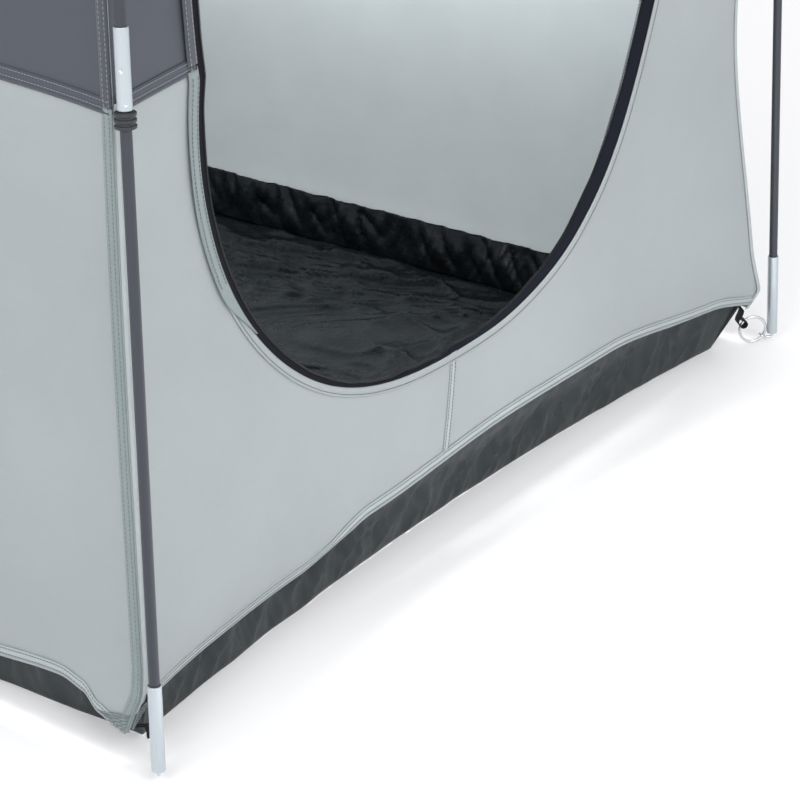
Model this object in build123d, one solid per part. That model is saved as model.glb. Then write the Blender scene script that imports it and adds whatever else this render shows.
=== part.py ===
from build123d import *
import math
import os

# Privacy shower tent, 3.5 ft square and about 6.5 ft tall, in millimetres.
# Frame: origin on the ground under the crown, +Z up, the door wall faces -Y.
# Two shock-corded fibreglass poles cross over the crown, outside the fabric.

# ---------------------------------------------------------------- driving sizes
PIN_HALF = 560.0            # half the spacing of the corner pins along X and Y
POLE_TWIST = 0.58           # degrees the pole planes stand off the fabric diagonals
LEAN = math.atan(0.0335 * math.sqrt(2))   # inward lean of the straight pole length
APEX_A = 1977.0             # centre line height of pole A at the crown
APEX_B = 1963.0             # pole B passes under pole A
ROD_R = 4.75                # fibreglass rod, 9.5 mm
ROD_BORE_R = 2.6            # the rods are hollow for the shock cord
CORD_R = 1.5                # shock cord
FERRULE_R = 6.1             # steel ferrule over each rod joint
FERRULE_LENGTH = 65.0
FIRST_JOINT = 620.0         # along the pole, from its foot to the first ferrule's middle
END_TUBE_A = 81.0           # steel end tubes, pole A's are the shorter ones
END_TUBE_B = 96.0
FOOT_GAP = 13.0             # from the ground to the end tube, along the pole
END_TUBE_BORE_R = 3.1
SLIP = 0.05                 # gap between a rod and the tube round it

RING_R = 15.5               # corner ring, to the middle of its wire
RING_WIRE_R = 1.75
RING_INSET = 24.5           # from the pole's foot in to the ring's centre
RING_Z = 18.6               # height of the ring's centre
RING_SLOPE = -35.0          # where round the ring the pin's eye holds it, in degrees
PIN_WIRE_R = 1.5
PIN_REACH = 62.0            # how high the pin stands in the end tube
EYE_R = 4.2                 # the pin's eye, to the middle of its wire
STRAP_WIDTH = 15.0          # corner webbing
STRAP_LENGTH = 13.0
COLLAR_AT = 580.0           # ribbed collar, just below the first ferrule

FABRIC = 1.6                # thickness that stands for one fabric layer
TUB_HEIGHT = 72.0
SPLIT_HEIGHT = 585.0        # light fabric below, dark fabric above
EAVE_HEIGHT = 1660.0        # the upper walls end and the roof panels begin
CROWN_HALF = 60.0           # half size of the square crown patch
GROUND_CORNER = 505.0       # half width of the groundsheet at its corners
GROUND_MIDDLE = 476.0       # and in the middle of the door side
GROUND_MIDDLE_REST = 514.0  # the other sides stand out a little
WALL_BOW = 13.0             # how far the middle of the door wall pulls in
HEM_BOW = 20.0              # and how much more at its lower hem
WALL_BOW_REST = 5.0         # the same, for the three whole walls
HEM_BOW_REST = 6.0
HEM_BOW_FADE = 160.0
CLIP_HEIGHTS = [575.0, 1020.0, 1440.0]
CLIP_GAP = 21.0             # pole centre to fabric corner, at a clip
SCALLOP_LOW = 49.5          # the same, where the low corner stands furthest off
SCALLOP_HIGH = 27.0

DOOR_X = -30.0
DOOR_HALF = 392.0
DOOR_BOTTOM = 192.0
DOOR_TOP = 1640.0
DOOR_BOW = 450.0            # height of the door's rounded lower end
DOOR_TOP_BOW = 240.0        # and of its flatter upper end
DOOR_POWER = 2.4            # how full the rounded ends are
ZIP_WIDTH = 16.0
ROLL_RADIUS = 38.0
ROLL_LENGTH = 600.0
TIE_WIDTH = 20.0
ROLL_Z = 1430.0             # height of the rolled door's middle
TAPE_TOP = 1432.0           # the zip tape ends behind the roll
FLAP_BOTTOM = 330.0
FLAP_WIDTH = 12.0
SLIDER_Z = 1370.0
SLIDER_WIDTH = 10.0
SLIDER_DEPTH = 6.0
SLIDER_LENGTH = 14.0
PULL_OFF = 5.0              # from a slider's middle to its pull's hinge
VENT_Z = 1480.0             # round mesh vent high in the rear wall
VENT_R = 110.0
HANG_RING_R = 17.0

DIAGONAL = PIN_HALF * math.sqrt(2)
QUARTERS = (0, 90, 180, 270)   # the front, right, rear and left sides


def save(node, *solids):
    """Writes one node, as one solid or a group of separate solids."""
    shape = solids[0] if len(solids) == 1 else Compound(list(solids))
    export_step(shape, f"parts/{node}.step")


def turned(shape, degrees):
    return shape.rotate(Axis.Z, degrees)


# ---------------------------------------------------------------- poles
class Pole:
    """Half of a pole: a straight leaning length, then an arc to the crown."""

    def __init__(self, apex, angle):
        sine, cosine = math.sin(LEAN), math.cos(LEAN)
        rise = (1 - sine) / cosine
        self.straight = (apex - DIAGONAL * rise) / (cosine - sine * rise)
        self.radius = (DIAGONAL - self.straight * sine) / cosine
        self.centre_z = apex - self.radius
        self.half = self.straight + self.radius * (math.pi / 2 - LEAN)
        self.angle = math.radians(angle + POLE_TWIST)

    def flat(self, s):
        """Distance from the middle and height, s along the pole from a foot."""
        if s <= self.straight:
            return DIAGONAL - s * math.sin(LEAN), s * math.cos(LEAN)
        if s > self.half:
            d, z = self.flat(2 * self.half - s)
            return -d, z
        turn = LEAN + (s - self.straight) / self.radius
        return self.radius * math.cos(turn), self.centre_z + self.radius * math.sin(turn)

    def point(self, s):
        d, z = self.flat(s)
        return Vector(d * math.cos(self.angle), d * math.sin(self.angle), z)

    def tangent(self, s):
        return (self.point(s + 0.5) - self.point(s - 0.5)).normalized()

    def path(self, low, high):
        """The centre line from low to high, in lines and arcs."""
        bends = [self.straight, self.half, 2 * self.half - self.straight]
        stops = [low] + [b for b in bends if low + 1 < b < high - 1] + [high]
        edges = []
        for a, b in zip(stops, stops[1:]):
            if max(a, b) <= self.straight + 1 or min(a, b) >= bends[2] - 1:
                edges.append(Line(self.point(a), self.point(b)))
            else:
                edges.append(ThreePointArc(self.point(a), self.point((a + b) / 2), self.point(b)))
        return Wire(edges)

    def tube(self, low, high, radius, bore=0.0):
        """A round tube or bar along the centre line."""
        wire = self.path(low, high)
        plane = Plane(origin=self.point(low), z_dir=wire % 0)
        bar = sweep(plane * Circle(radius), path=wire)
        if bore:
            bar = bar - sweep(plane * Circle(bore), path=wire)
        return bar.solid()

    def plane(self, s):
        """Work plane across the pole, its X axis pointing out of the bend."""
        t = self.tangent(s)
        side = Vector(-math.sin(self.angle), math.cos(self.angle), 0)
        return Plane(origin=self.point(s), x_dir=t.cross(side), z_dir=t)


def joint_stations(pole):
    """Rod ends along the pole, from foot to foot, the crown joint in the middle."""
    step = (pole.half - FIRST_JOINT) / 3
    near = [FIRST_JOINT + step * i for i in range(4)]
    far = [2 * pole.half - s for s in reversed(near[:3])]
    return near + far


def make_pole(name, pole, end_tube):
    joints = joint_stations(pole)
    top_of_tube = FOOT_GAP + end_tube
    ends = [top_of_tube - 12, *joints, 2 * pole.half - top_of_tube + 12]
    for i, (low, high) in enumerate(zip(ends, ends[1:])):
        save(f"{name}_rod_{i + 1}", pole.tube(low + 0.2, high - 0.2, ROD_R, ROD_BORE_R))
    half = FERRULE_LENGTH / 2
    sleeves = [pole.tube(s - half, s + half, FERRULE_R, ROD_R + SLIP) for s in joints]
    save(f"{name}_ferrules", *sleeves)
    tubes = []
    for low, high in ((FOOT_GAP, top_of_tube), (2 * pole.half - top_of_tube, 2 * pole.half - FOOT_GAP)):
        tube = pole.tube(low, high, FERRULE_R, END_TUBE_BORE_R)
        near = low < pole.half
        socket = (high - 12, high) if near else (low, low + 12)
        tubes.append((tube - pole.tube(*socket, ROD_R + SLIP)).solid())
    save(f"{name}_end_tubes", *tubes)
    save(f"{name}_shock_cord", pole.tube(top_of_tube - 8, 2 * pole.half - top_of_tube + 8, CORD_R))


POLE_A = Pole(APEX_A, 225.0)
POLE_B = Pole(APEX_B, 315.0)


def foot(pole, far, s):
    """A station s from the near foot, or the same distance from the far foot."""
    return 2 * pole.half - s if far else s


# ---------------------------------------------------------------- fabric body
def corner_half(z):
    """Half width of the fabric body at its corners, at height z."""
    if z < TUB_HEIGHT:
        return GROUND_CORNER + (corner_half(TUB_HEIGHT) - GROUND_CORNER) * z / TUB_HEIGHT
    if z < CLIP_HEIGHTS[0]:
        gap = CLIP_GAP + (SCALLOP_LOW - CLIP_GAP) * math.sin(math.pi * (z / CLIP_HEIGHTS[0]) ** 1.7)
    else:
        gap = CLIP_GAP
        for low, high in zip(CLIP_HEIGHTS, CLIP_HEIGHTS[1:]):
            if low < z < high:
                gap += (SCALLOP_HIGH - CLIP_GAP) * math.sin(math.pi * (z - low) / (high - low))
    if z <= POLE_B.straight * math.cos(LEAN):
        d = DIAGONAL - z * math.tan(LEAN) - gap
    else:
        d = math.sqrt((POLE_B.radius - gap) ** 2 - (z - POLE_B.centre_z) ** 2)
    return d / math.sqrt(2)


def middle_half(z, door_side=True):
    """Half width in the middle of a wall: the walls pull in a little."""
    if z < TUB_HEIGHT:
        ground = GROUND_MIDDLE if door_side else GROUND_MIDDLE_REST
        return ground + (middle_half(TUB_HEIGHT, door_side) - ground) * z / TUB_HEIGHT
    bow, hem = (WALL_BOW, HEM_BOW) if door_side else (WALL_BOW_REST, HEM_BOW_REST)
    bow += hem * math.exp(-(z - TUB_HEIGHT) / HEM_BOW_FADE)
    return corner_half(z) - min(bow, corner_half(z) / 10)


def strip(z, out, thick, door_side):
    """Flat closed outline of one wall's cut at height z, mitred at both ends."""
    outer, middle = corner_half(z) + out, middle_half(z, door_side) + out
    inner, inner_middle = outer - thick, middle - thick
    a, b = Vector(-outer, -outer, z), Vector(outer, -outer, z)
    c, d = Vector(inner, -inner, z), Vector(-inner, -inner, z)
    return Wire([
        ThreePointArc(a, Vector(0, -middle, z), b),
        Line(b, c),
        ThreePointArc(c, Vector(0, -inner_middle, z), d),
        Line(d, a),
    ])


def wall(low, high, steps, door_side, out=0.0, thick=FABRIC):
    """One wall between two heights, facing -Y, as a thin curved panel."""
    heights = [low + (high - low) * i / steps for i in range(steps + 1)]
    return Solid.make_loft([strip(z, out, thick, door_side) for z in heights])


def roof_panel(door_side):
    """One roof panel, from the eave to the crown patch."""
    radius = POLE_B.radius - CLIP_GAP
    start = math.asin((EAVE_HEIGHT - POLE_B.centre_z) / radius)
    end = math.acos(CROWN_HALF * math.sqrt(2) / radius)
    turns = [start + (end - start) * i / 7 for i in range(8)]
    heights = [POLE_B.centre_z + radius * math.sin(t) for t in turns]
    return Solid.make_loft([strip(z, 0.0, FABRIC, door_side) for z in heights])


def door_outline(inset=0.0):
    """The door's outline in the XZ plane: two full rounded ends and straight sides."""
    half = DOOR_HALF - inset
    ends = []
    for base, bow, sign in (
        (DOOR_BOTTOM + DOOR_BOW, DOOR_BOW - inset, -1),
        (DOOR_TOP - DOOR_TOP_BOW, DOOR_TOP_BOW - inset, 1),
    ):
        points = []
        for i in range(13):
            turn = math.pi * i / 12
            x = half * math.copysign(abs(math.cos(turn)) ** (2 / DOOR_POWER), -math.cos(turn))
            rise = bow * math.sin(turn) ** (2 / DOOR_POWER)
            points.append(Vector(DOOR_X + x, 0, base + sign * rise))
        ends.append(points)
    low, high = ends
    edges = [Spline(*low), Line(low[-1], high[-1]), Spline(*reversed(high)), Line(high[0], low[0])]
    return Wire(edges)


def door_prism(inset=0.0):
    """The outline run right through the front wall, along Y."""
    return extrude(Face(door_outline(inset)), amount=900, dir=(0, -1, 0))


def block(x0, x1, y0, y1, z0, z1):
    return Pos((x0 + x1) / 2, (y0 + y1) / 2, (z0 + z1) / 2) * Box(x1 - x0, y1 - y0, z1 - z0)


def make_tub():
    rim = [turned(wall(FABRIC, TUB_HEIGHT, 2, a == 0), a) for a in QUARTERS]
    save("tub_sides", *rim)
    edges = []
    for a in QUARTERS:
        ends = [Vector(sx * GROUND_CORNER, -GROUND_CORNER, 0).rotate(Axis.Z, a) for sx in (-1, 1)]
        middle = Vector(0, -middle_half(0.0, a == 0), 0).rotate(Axis.Z, a)
        edges.append(ThreePointArc(ends[0], middle, ends[1]))
    save("tub_floor", extrude(Face(Wire(edges)), amount=FABRIC, dir=(0, 0, 1)).solid())


def make_walls(door):
    low = wall(TUB_HEIGHT, SPLIT_HEIGHT, 8, True)
    high = wall(SPLIT_HEIGHT, EAVE_HEIGHT, 18, True)
    save("front_wall_lower", (low - door).solid())
    save("front_wall_upper", (high - door).solid())
    rest_low = wall(TUB_HEIGHT, SPLIT_HEIGHT, 8, False)
    rest_high = wall(SPLIT_HEIGHT, EAVE_HEIGHT, 18, False)
    for side, a in (("right", 90), ("rear", 180), ("left", 270)):
        save(f"{side}_wall_lower", turned(rest_low, a))
        panel = turned(rest_high, a)
        if side == "rear":
            hole = Pos(0, 500, VENT_Z) * Rot(90, 0, 0) * Cylinder(VENT_R, 300)
            mesh = turned(wall(SPLIT_HEIGHT, EAVE_HEIGHT, 18, False, out=-0.5, thick=0.6), a)
            save("rear_vent_mesh", (mesh & hole).solid())
            panel = (panel - hole).solid()
        save(f"{side}_wall_upper", panel)
    save("roof_panels", *[turned(roof_panel(a == 0), a) for a in QUARTERS])
    top = POLE_B.centre_z + math.sqrt((POLE_B.radius - CLIP_GAP) ** 2 - 2 * CROWN_HALF ** 2)
    patch = Pos(0, 0, top + FABRIC / 2) * Box(2 * CROWN_HALF, 2 * CROWN_HALF, FABRIC)
    save("crown_patch", patch)
    return low + high, top


def make_door(door, fabric):
    """Zip tape round the opening, the door rolled up at the top, its ties, and the sliders."""
    flange = door_prism(0.2) - door_prism(0.2 + FABRIC)
    tape = [
        wall(low, high, steps, True, thick=ZIP_WIDTH) & flange
        for low, high, steps in ((TUB_HEIGHT, SPLIT_HEIGHT, 8), (SPLIT_HEIGHT, TAPE_TOP, 14))
    ]
    save("door_zip_tape", (tape[0] + tape[1]).solid())
    above = block(-600, 600, -900, 0, TAPE_TOP, EAVE_HEIGHT)
    save("door_top_panel", (fabric & door_prism(0.2) & above).solid())
    flap_wall = wall(FLAP_BOTTOM, TAPE_TOP - 40, 16, True, out=2 * FABRIC + 2.0)
    outside = door_prism(-FLAP_WIDTH) - door
    left = block(-600, DOOR_X - 200, -900, 0, FLAP_BOTTOM, TAPE_TOP)
    save("door_storm_flap", (flap_wall & outside & left).solid())
    centre = Pos(DOOR_X, WALL_BOW - corner_half(ROLL_Z) + ROLL_RADIUS + 12, ROLL_Z) * Rot(0, 90, 0)
    save("door_roll", centre * Cylinder(ROLL_RADIUS, ROLL_LENGTH))
    band = Cylinder(ROLL_RADIUS + 2.2, TIE_WIDTH) - Cylinder(ROLL_RADIUS + 0.2, TIE_WIDTH)
    ties = [(centre * Pos(0, 0, x) * band).solid() for x in (-ROLL_LENGTH / 4, ROLL_LENGTH / 4)]
    save("door_roll_ties", *ties)
    for name, sign in (("left", -1), ("right", 1)):
        make_slider(name, sign)


def slider_place(sign, z):
    """Where a slider's middle is on the zip at height z, on the straight sides of the door."""
    x = DOOR_X + sign * (DOOR_HALF - 0.2 - FABRIC / 2)
    share = (x / corner_half(z)) ** 2
    surface = middle_half(z) + share * (corner_half(z) - middle_half(z))
    return Vector(x, -surface + ZIP_WIDTH + SLIDER_WIDTH / 2 + 1.2, z)


def make_slider(name, sign):
    """A slider at the free edge of the zip tape, and the pull tab that hangs from it."""
    at = slider_place(sign, SLIDER_Z)
    body = Pos(at) * Box(SLIDER_DEPTH, SLIDER_WIDTH, SLIDER_LENGTH)
    body = fillet(body.edges().filter_by(Axis.X), 2.0)
    face = at - Vector(sign * PULL_OFF, 0, 0)
    bridge = Pos(face) * (Box(4.4, 3.0, 9.0) - Box(2.4, 4.0, 5.0))
    save(f"zip_slider_{name}", (body + bridge).solid())
    pull = Pos(face - Vector(0, 0, 16.2)) * Box(1.4, 7.0, 34)
    pull = fillet(pull.edges().filter_by(Axis.X), 0.7)
    window = Pos(face - Vector(0, 0, 3.1)) * Box(3.0, 4.0, 4.6)
    save(f"zip_pull_{name}", (pull - window).solid())


# ---------------------------------------------------------------- pole fittings
def make_fittings():
    poles = [(POLE_A, False), (POLE_B, False), (POLE_A, True), (POLE_B, True)]
    collars = []
    for pole, far in poles:
        s = foot(pole, far, COLLAR_AT)
        collar = pole.tube(s - 7, s + 7, 7.4, ROD_R + SLIP)
        for rib in (-5.0, 0.0, 5.0):
            collar = collar + pole.tube(s + rib - 1.7, s + rib + 1.7, 9.0, 7.0)
        collar = collar + tab(pole, s, 7.0, CLIP_GAP - 0.6)
        collars.append(collar.solid())
    save("pole_collars", *collars)
    clips = []
    for pole, far in poles:
        for z in CLIP_HEIGHTS[1:]:
            clips.append(clip(pole, foot(pole, far, z / math.cos(LEAN)), CLIP_GAP))
        for share in (0.3, 0.75):
            s = pole.straight + (pole.half - pole.straight) * share
            clips.append(clip(pole, foot(pole, far, s), CLIP_GAP))
    save("pole_clips", *clips)


def tab(pole, s, start, end):
    """A flat tab from a fitting on the pole in to the fabric."""
    plane = pole.plane(s)
    inwards = -1 if plane.x_dir.Z > -0.5 and plane.x_dir.dot(pole.point(s)) > 0 else 1
    return plane * Pos(inwards * (start + end) / 2, 0, 0) * Box(end - start, 9.0, 3.0)


def clip(pole, s, reach):
    """A snap clip: a split ring on the rod, with a tab sewn to the fabric."""
    ring = pole.tube(s - 6, s + 6, 7.6, ROD_R + SLIP)
    return (ring + tab(pole, s, 7.0, reach - 0.6)).solid()


def make_corners():
    straps = []
    for name, pole, far in (("front_left", POLE_A, False), ("front_right", POLE_B, False),
                            ("rear_right", POLE_A, True), ("rear_left", POLE_B, True)):
        out = pole.angle + (math.pi if far else 0)
        radial = Vector(math.cos(out), math.sin(out), 0)
        centre = radial * (DIAGONAL - RING_INSET) + Vector(0, 0, RING_Z)
        frame = Plane(origin=centre, x_dir=radial, z_dir=radial.cross(Vector(0, 0, 1)))
        ring = frame * Torus(RING_R, RING_WIRE_R)
        save(f"corner_ring_{name}", ring)
        slope = math.radians(RING_SLOPE)
        eye = (RING_R * math.cos(slope), RING_R * math.sin(slope))
        eye_frame = frame * Plane(origin=(eye[0], eye[1], 0), z_dir=(-math.sin(slope), math.cos(slope), 0))
        arm_low = (eye[0] + EYE_R - 0.4, eye[1] - 2.0, 0)
        top = (RING_INSET - (PIN_REACH - 5) * math.tan(LEAN), PIN_REACH - RING_Z, 0)
        bend = (RING_INSET - 0.2, 7.2 - RING_Z, 0)
        wire = FilletPolyline(arm_low, bend, top, radius=3.5)
        start = Plane(origin=arm_low, z_dir=Vector(*bend) - Vector(*arm_low))
        pin = sweep(start * Circle(PIN_WIRE_R), path=wire)
        save(f"corner_pin_{name}", (frame * pin + eye_frame * Torus(EYE_R, PIN_WIRE_R - 0.1)).solid())
        strap_at = slope + math.pi
        hold = (RING_R * math.cos(strap_at), RING_R * math.sin(strap_at), 0)
        strap_frame = frame * Plane(origin=hold, x_dir=(0, 0, 1), z_dir=(-math.sin(strap_at), math.cos(strap_at), 0))
        loop = strap_frame * (Cylinder(5.2, 8.0) - Cylinder(3.6, 8.0))
        reach = Plane(origin=hold, x_dir=(math.cos(strap_at), math.sin(strap_at), 0), z_dir=(0, 0, 1))
        strap = frame * reach * Pos(4.8 + STRAP_LENGTH / 2, 0, 0) * Box(STRAP_LENGTH, 8.0, 3.0)
        wide = frame * reach * Pos(4.8 + STRAP_LENGTH - 4, 0, 0) * Box(8.0, STRAP_WIDTH, 3.0)
        straps.append((loop + strap + wide).solid())
    save("corner_webbing", *straps)


def make_crown(patch_z):
    """The strap over the crossed poles, and the loop and ring that hang below the patch."""
    low, high = patch_z + FABRIC + 0.3, APEX_A + FERRULE_R + 0.3
    outer = block(-STRAP_WIDTH / 2, STRAP_WIDTH / 2, -27, 27, low, high + 2)
    inner = block(-STRAP_WIDTH, STRAP_WIDTH, -25, 25, low + 1.6, high)
    save("crown_strap", (outer - inner).solid())
    loop_z = patch_z - 14.4
    loop = Pos(0, 0, loop_z) * Rot(0, 90, 0) * (Cylinder(8.0, STRAP_WIDTH) - Cylinder(6.2, STRAP_WIDTH))
    neck = Pos(0, 0, (loop_z + 7.2 + patch_z) / 2) * Box(STRAP_WIDTH, 3.0, patch_z - loop_z - 7.2)
    save("hanging_loop", (loop + neck).solid())
    ring_z = loop_z - HANG_RING_R + 1.0
    save("hanging_ring", Pos(0, 0, ring_z) * Rot(90, 0, 0) * Torus(HANG_RING_R, 2.2))


if __name__ == "__main__":
    os.makedirs("parts", exist_ok=True)
    make_pole("pole_a", POLE_A, END_TUBE_A)
    make_pole("pole_b", POLE_B, END_TUBE_B)
    make_fittings()
    make_corners()
    make_tub()
    door_cut = door_prism()
    front, patch_height = make_walls(door_cut)
    make_door(door_cut, front)
    make_crown(patch_height)
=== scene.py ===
import math

import bmesh
import bpy
from mathutils import Matrix, Vector, noise


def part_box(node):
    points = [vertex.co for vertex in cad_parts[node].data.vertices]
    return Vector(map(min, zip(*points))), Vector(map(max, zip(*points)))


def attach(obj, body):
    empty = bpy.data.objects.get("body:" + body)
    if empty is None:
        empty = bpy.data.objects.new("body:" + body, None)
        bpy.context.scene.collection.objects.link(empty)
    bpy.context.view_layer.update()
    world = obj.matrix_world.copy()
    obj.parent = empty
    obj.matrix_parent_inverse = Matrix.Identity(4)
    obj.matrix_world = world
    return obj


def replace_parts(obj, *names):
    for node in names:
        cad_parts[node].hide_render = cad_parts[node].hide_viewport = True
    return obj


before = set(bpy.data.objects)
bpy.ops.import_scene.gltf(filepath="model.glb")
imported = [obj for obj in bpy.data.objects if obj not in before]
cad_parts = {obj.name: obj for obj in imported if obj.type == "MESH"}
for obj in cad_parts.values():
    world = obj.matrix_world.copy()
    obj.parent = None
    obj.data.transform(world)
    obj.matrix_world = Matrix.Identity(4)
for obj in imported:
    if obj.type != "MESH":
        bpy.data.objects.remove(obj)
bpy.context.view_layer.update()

MM = 0.001

# ---------------------------------------------------------------- the tent's own sizes
TUB_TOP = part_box("tub_sides")[1].z
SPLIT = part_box("front_wall_lower")[1].z
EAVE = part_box("front_wall_upper")[1].z
CROWN_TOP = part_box("crown_patch")[1].z
CROWN_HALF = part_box("crown_patch")[1].x
# poles: pins stand 1.12 m apart, and each pole leans in 33.5 mm a metre, along X and along Y
PIN_DIAGONAL = 560 * MM * math.sqrt(2)
LEAN = math.atan(0.0335 * math.sqrt(2))
APEX = {"a": 1977 * MM, "b": 1963 * MM}
POLE_TWIST = 0.58
ROD_R = 4.75 * MM
ROD_BORE = 2.6 * MM
FERRULE_R = 6.1 * MM
FIRST_JOINT = 620 * MM
FERRULE_LENGTH = 65 * MM
FOOT_GAP = 13 * MM
END_TUBE = {"a": 81 * MM, "b": 96 * MM}

# fabric: how far its corners hang in from the poles, at the clips and between them
CLIPS = (575 * MM, 1020 * MM, 1440 * MM)
CLIP_GAP = 21 * MM
SCALLOP_LOW = 49.5 * MM
SCALLOP_HIGH = 27 * MM
SCALLOP_SKEW = 1.7
GROUND_CORNER = 505 * MM
CLOTH = 0.35 * MM
THREADS = 1500
# the light cloth runs on so far behind the dark one
SPLIT_LAP = 6 * MM
# how soon the hem's bow and its square ends fade up the wall
HEM_BOW_FADE = 160 * MM
HEM_END_FADE = 60 * MM

# the door opening: a rounded bottom, straight sides and a flatter top
DOOR_X = -30 * MM
DOOR_HALF = 392 * MM
DOOR_BOTTOM = 192 * MM
DOOR_TOP = 1640 * MM
DOOR_BOW = 450 * MM
DOOR_TOP_BOW = 240 * MM
DOOR_POWER = 2.4
DOOR_STEPS = 240
ZIP_WIDTH = 16 * MM
ZIP_HELD = 2.6 * MM
ROLL_Z = 1430 * MM


def smooth(t):
    """Eases from 0 to 1 as t does, and stays flat beyond."""
    t = max(0.0, min(1.0, t))
    return t * t * (3 - 2 * t)


def lerp(a, b, t):
    return a + (b - a) * t


def spread(a, b, count):
    """Count + 1 numbers, evenly from a to b."""
    return [lerp(a, b, i / count) for i in range(count + 1)]


def around(rounds):
    """The angles of a ring of points."""
    return [2 * math.pi * k / rounds for k in range(rounds)]


def distances(points):
    """How far along the line each of its points lies."""
    result = [0.0]
    for a, b in zip(points, points[1:]):
        result.append(result[-1] + (b - a).length)
    return result


def through(points, x):
    """Height at x of a soft curve through a few points."""
    if x <= points[0][0]:
        return points[0][1]
    for (x0, y0), (x1, y1) in zip(points, points[1:]):
        if x <= x1:
            return lerp(y0, y1, smooth((x - x0) / (x1 - x0)))
    return points[-1][1]


# ---------------------------------------------------------------- poles
class Pole:
    """A pole's centre line: a straight leaning length, an arc over the crown, and down again."""

    def __init__(self, key, angle):
        sine, cosine = math.sin(LEAN), math.cos(LEAN)
        rise = (1 - sine) / cosine
        self.key = key
        self.straight = (APEX[key] - PIN_DIAGONAL * rise) / (cosine - sine * rise)
        self.radius = (PIN_DIAGONAL - self.straight * sine) / cosine
        self.centre_z = APEX[key] - self.radius
        self.half = self.straight + self.radius * (math.pi / 2 - LEAN)
        self.angle = math.radians(angle + POLE_TWIST)
        step = (self.half - FIRST_JOINT) / 3
        near = [FIRST_JOINT + step * i for i in range(4)]
        self.joints = near + [2 * self.half - s for s in reversed(near[:3])]

    def flat(self, s):
        """Distance from the tent's middle and height, at station s along the pole."""
        if s > self.half:
            d, z = self.flat(2 * self.half - s)
            return -d, z
        if s <= self.straight:
            return PIN_DIAGONAL - s * math.sin(LEAN), s * math.cos(LEAN)
        turn = LEAN + (s - self.straight) / self.radius
        return self.radius * math.cos(turn), self.centre_z + self.radius * math.sin(turn)

    def point(self, s):
        d, z = self.flat(s)
        return Vector((d * math.cos(self.angle), d * math.sin(self.angle), z))

    def place(self, s):
        """Matrix at station s: Z along the pole, X out of its bend."""
        along = (self.point(s + 0.4 * MM) - self.point(s - 0.4 * MM)).normalized()
        side = Vector((-math.sin(self.angle), math.cos(self.angle), 0))
        out = along.cross(side) * -1
        turn = Matrix((out, out.cross(along) * -1, along)).transposed()
        return Matrix.Translation(self.point(s)) @ turn.to_4x4()


POLES = {"a": Pole("a", 225.0), "b": Pole("b", 315.0)}
ARC_R = POLES["b"].radius
ARC_Z = POLES["b"].centre_z


# ---------------------------------------------------------------- the fabric's shape
def corner_half(z):
    """Half width of the fabric body at its corners, at height z."""
    if z < TUB_TOP:
        return lerp(GROUND_CORNER, corner_half(TUB_TOP), max(z, 0) / TUB_TOP)
    gap = CLIP_GAP
    if z < CLIPS[0]:
        gap += (SCALLOP_LOW - CLIP_GAP) * math.sin(math.pi * (z / CLIPS[0]) ** SCALLOP_SKEW)
    for low, high in zip(CLIPS, CLIPS[1:]):
        if low < z < high:
            gap += (SCALLOP_HIGH - CLIP_GAP) * math.sin(math.pi * (z - low) / (high - low))
    if z <= POLES["b"].straight * math.cos(LEAN):
        d = PIN_DIAGONAL - z * math.tan(LEAN) - gap
    else:
        d = math.sqrt(max(0, (ARC_R - gap) ** 2 - (z - ARC_Z) ** 2))
    return d / math.sqrt(2)


# the corner tips that the webbing pulls out of line: place, height of the tip, how far
PULLED_CORNERS = (
    (Vector((-0.518, -0.518, 0)), 0.022, Vector((-0.020, -0.002, 0))),
    (Vector((0.530, -0.530, 0)), 0.050, Vector((0.005, -0.006, 0))),
)


class Side:
    """One of the four sides, worked out facing -Y and then turned into place."""

    def __init__(self, name, degrees, wall_bow, hem_bow, ground, hem):
        self.name = name
        self.turn = Matrix.Rotation(math.radians(degrees), 4, "Z")
        self.seed = Vector((degrees * 0.37, 11.0 + degrees * 0.13, 5.0))
        self.wall_bow = wall_bow
        self.hem_bow = hem_bow
        self.ground = ground
        self.hem = hem

    def depth(self, x, z):
        """How far the cloth is from the middle of the tent."""
        c = corner_half(z)
        if self.name != "front" and z < TUB_TOP:
            # the hem of a whole wall hangs straight, and only its corners draw in
            c = lerp(corner_half(TUB_TOP), c, min(1, abs(x) / c) ** 8)
        bow = self.wall_bow + self.hem_bow * math.exp(-max(z - TUB_TOP, 0) / HEM_BOW_FADE)
        bow = min(bow, c / 10)
        near_hem = math.exp(-max(z - TUB_TOP, 0) / HEM_END_FADE)
        power = lerp(2.2, 5.0, near_hem)
        return c - bow * (1 - min(1, abs(x) / c) ** power)

    def cloth(self, x, z, out=0.0):
        """A point of the wall, with its slight creases."""
        p = Vector((x * 3.1, z * 1.7, 0)) + self.seed
        soft = noise.noise(p) * 2.6 * MM
        q = Vector((x * 9, z * 4.2, 3)) + self.seed
        crease = (noise.noise(q) ** 2) * 3.0 * MM
        edge = (1 - min(1, abs(x) / corner_half(z)) ** 8) * lerp(0.2, 1, smooth((z - 0.05) / 0.14))
        made = self.turn @ Vector((x, -self.depth(x, z) - out + (soft - crease) * edge, z))
        for corner, height, pull in PULLED_CORNERS:
            near = smooth(1 - (made - corner).xy.length / 0.085) * smooth(1 - (z - height) / 0.075)
            made += pull * near
        return made

    def hem_z(self, x):
        """Height of the wall's lower edge."""
        return through(self.hem, x)

    def ground_depth(self, x):
        """How far from the middle the tub meets the ground."""
        return lerp(self.ground, GROUND_CORNER, min(1, abs(x) / GROUND_CORNER) ** 2)


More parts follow.
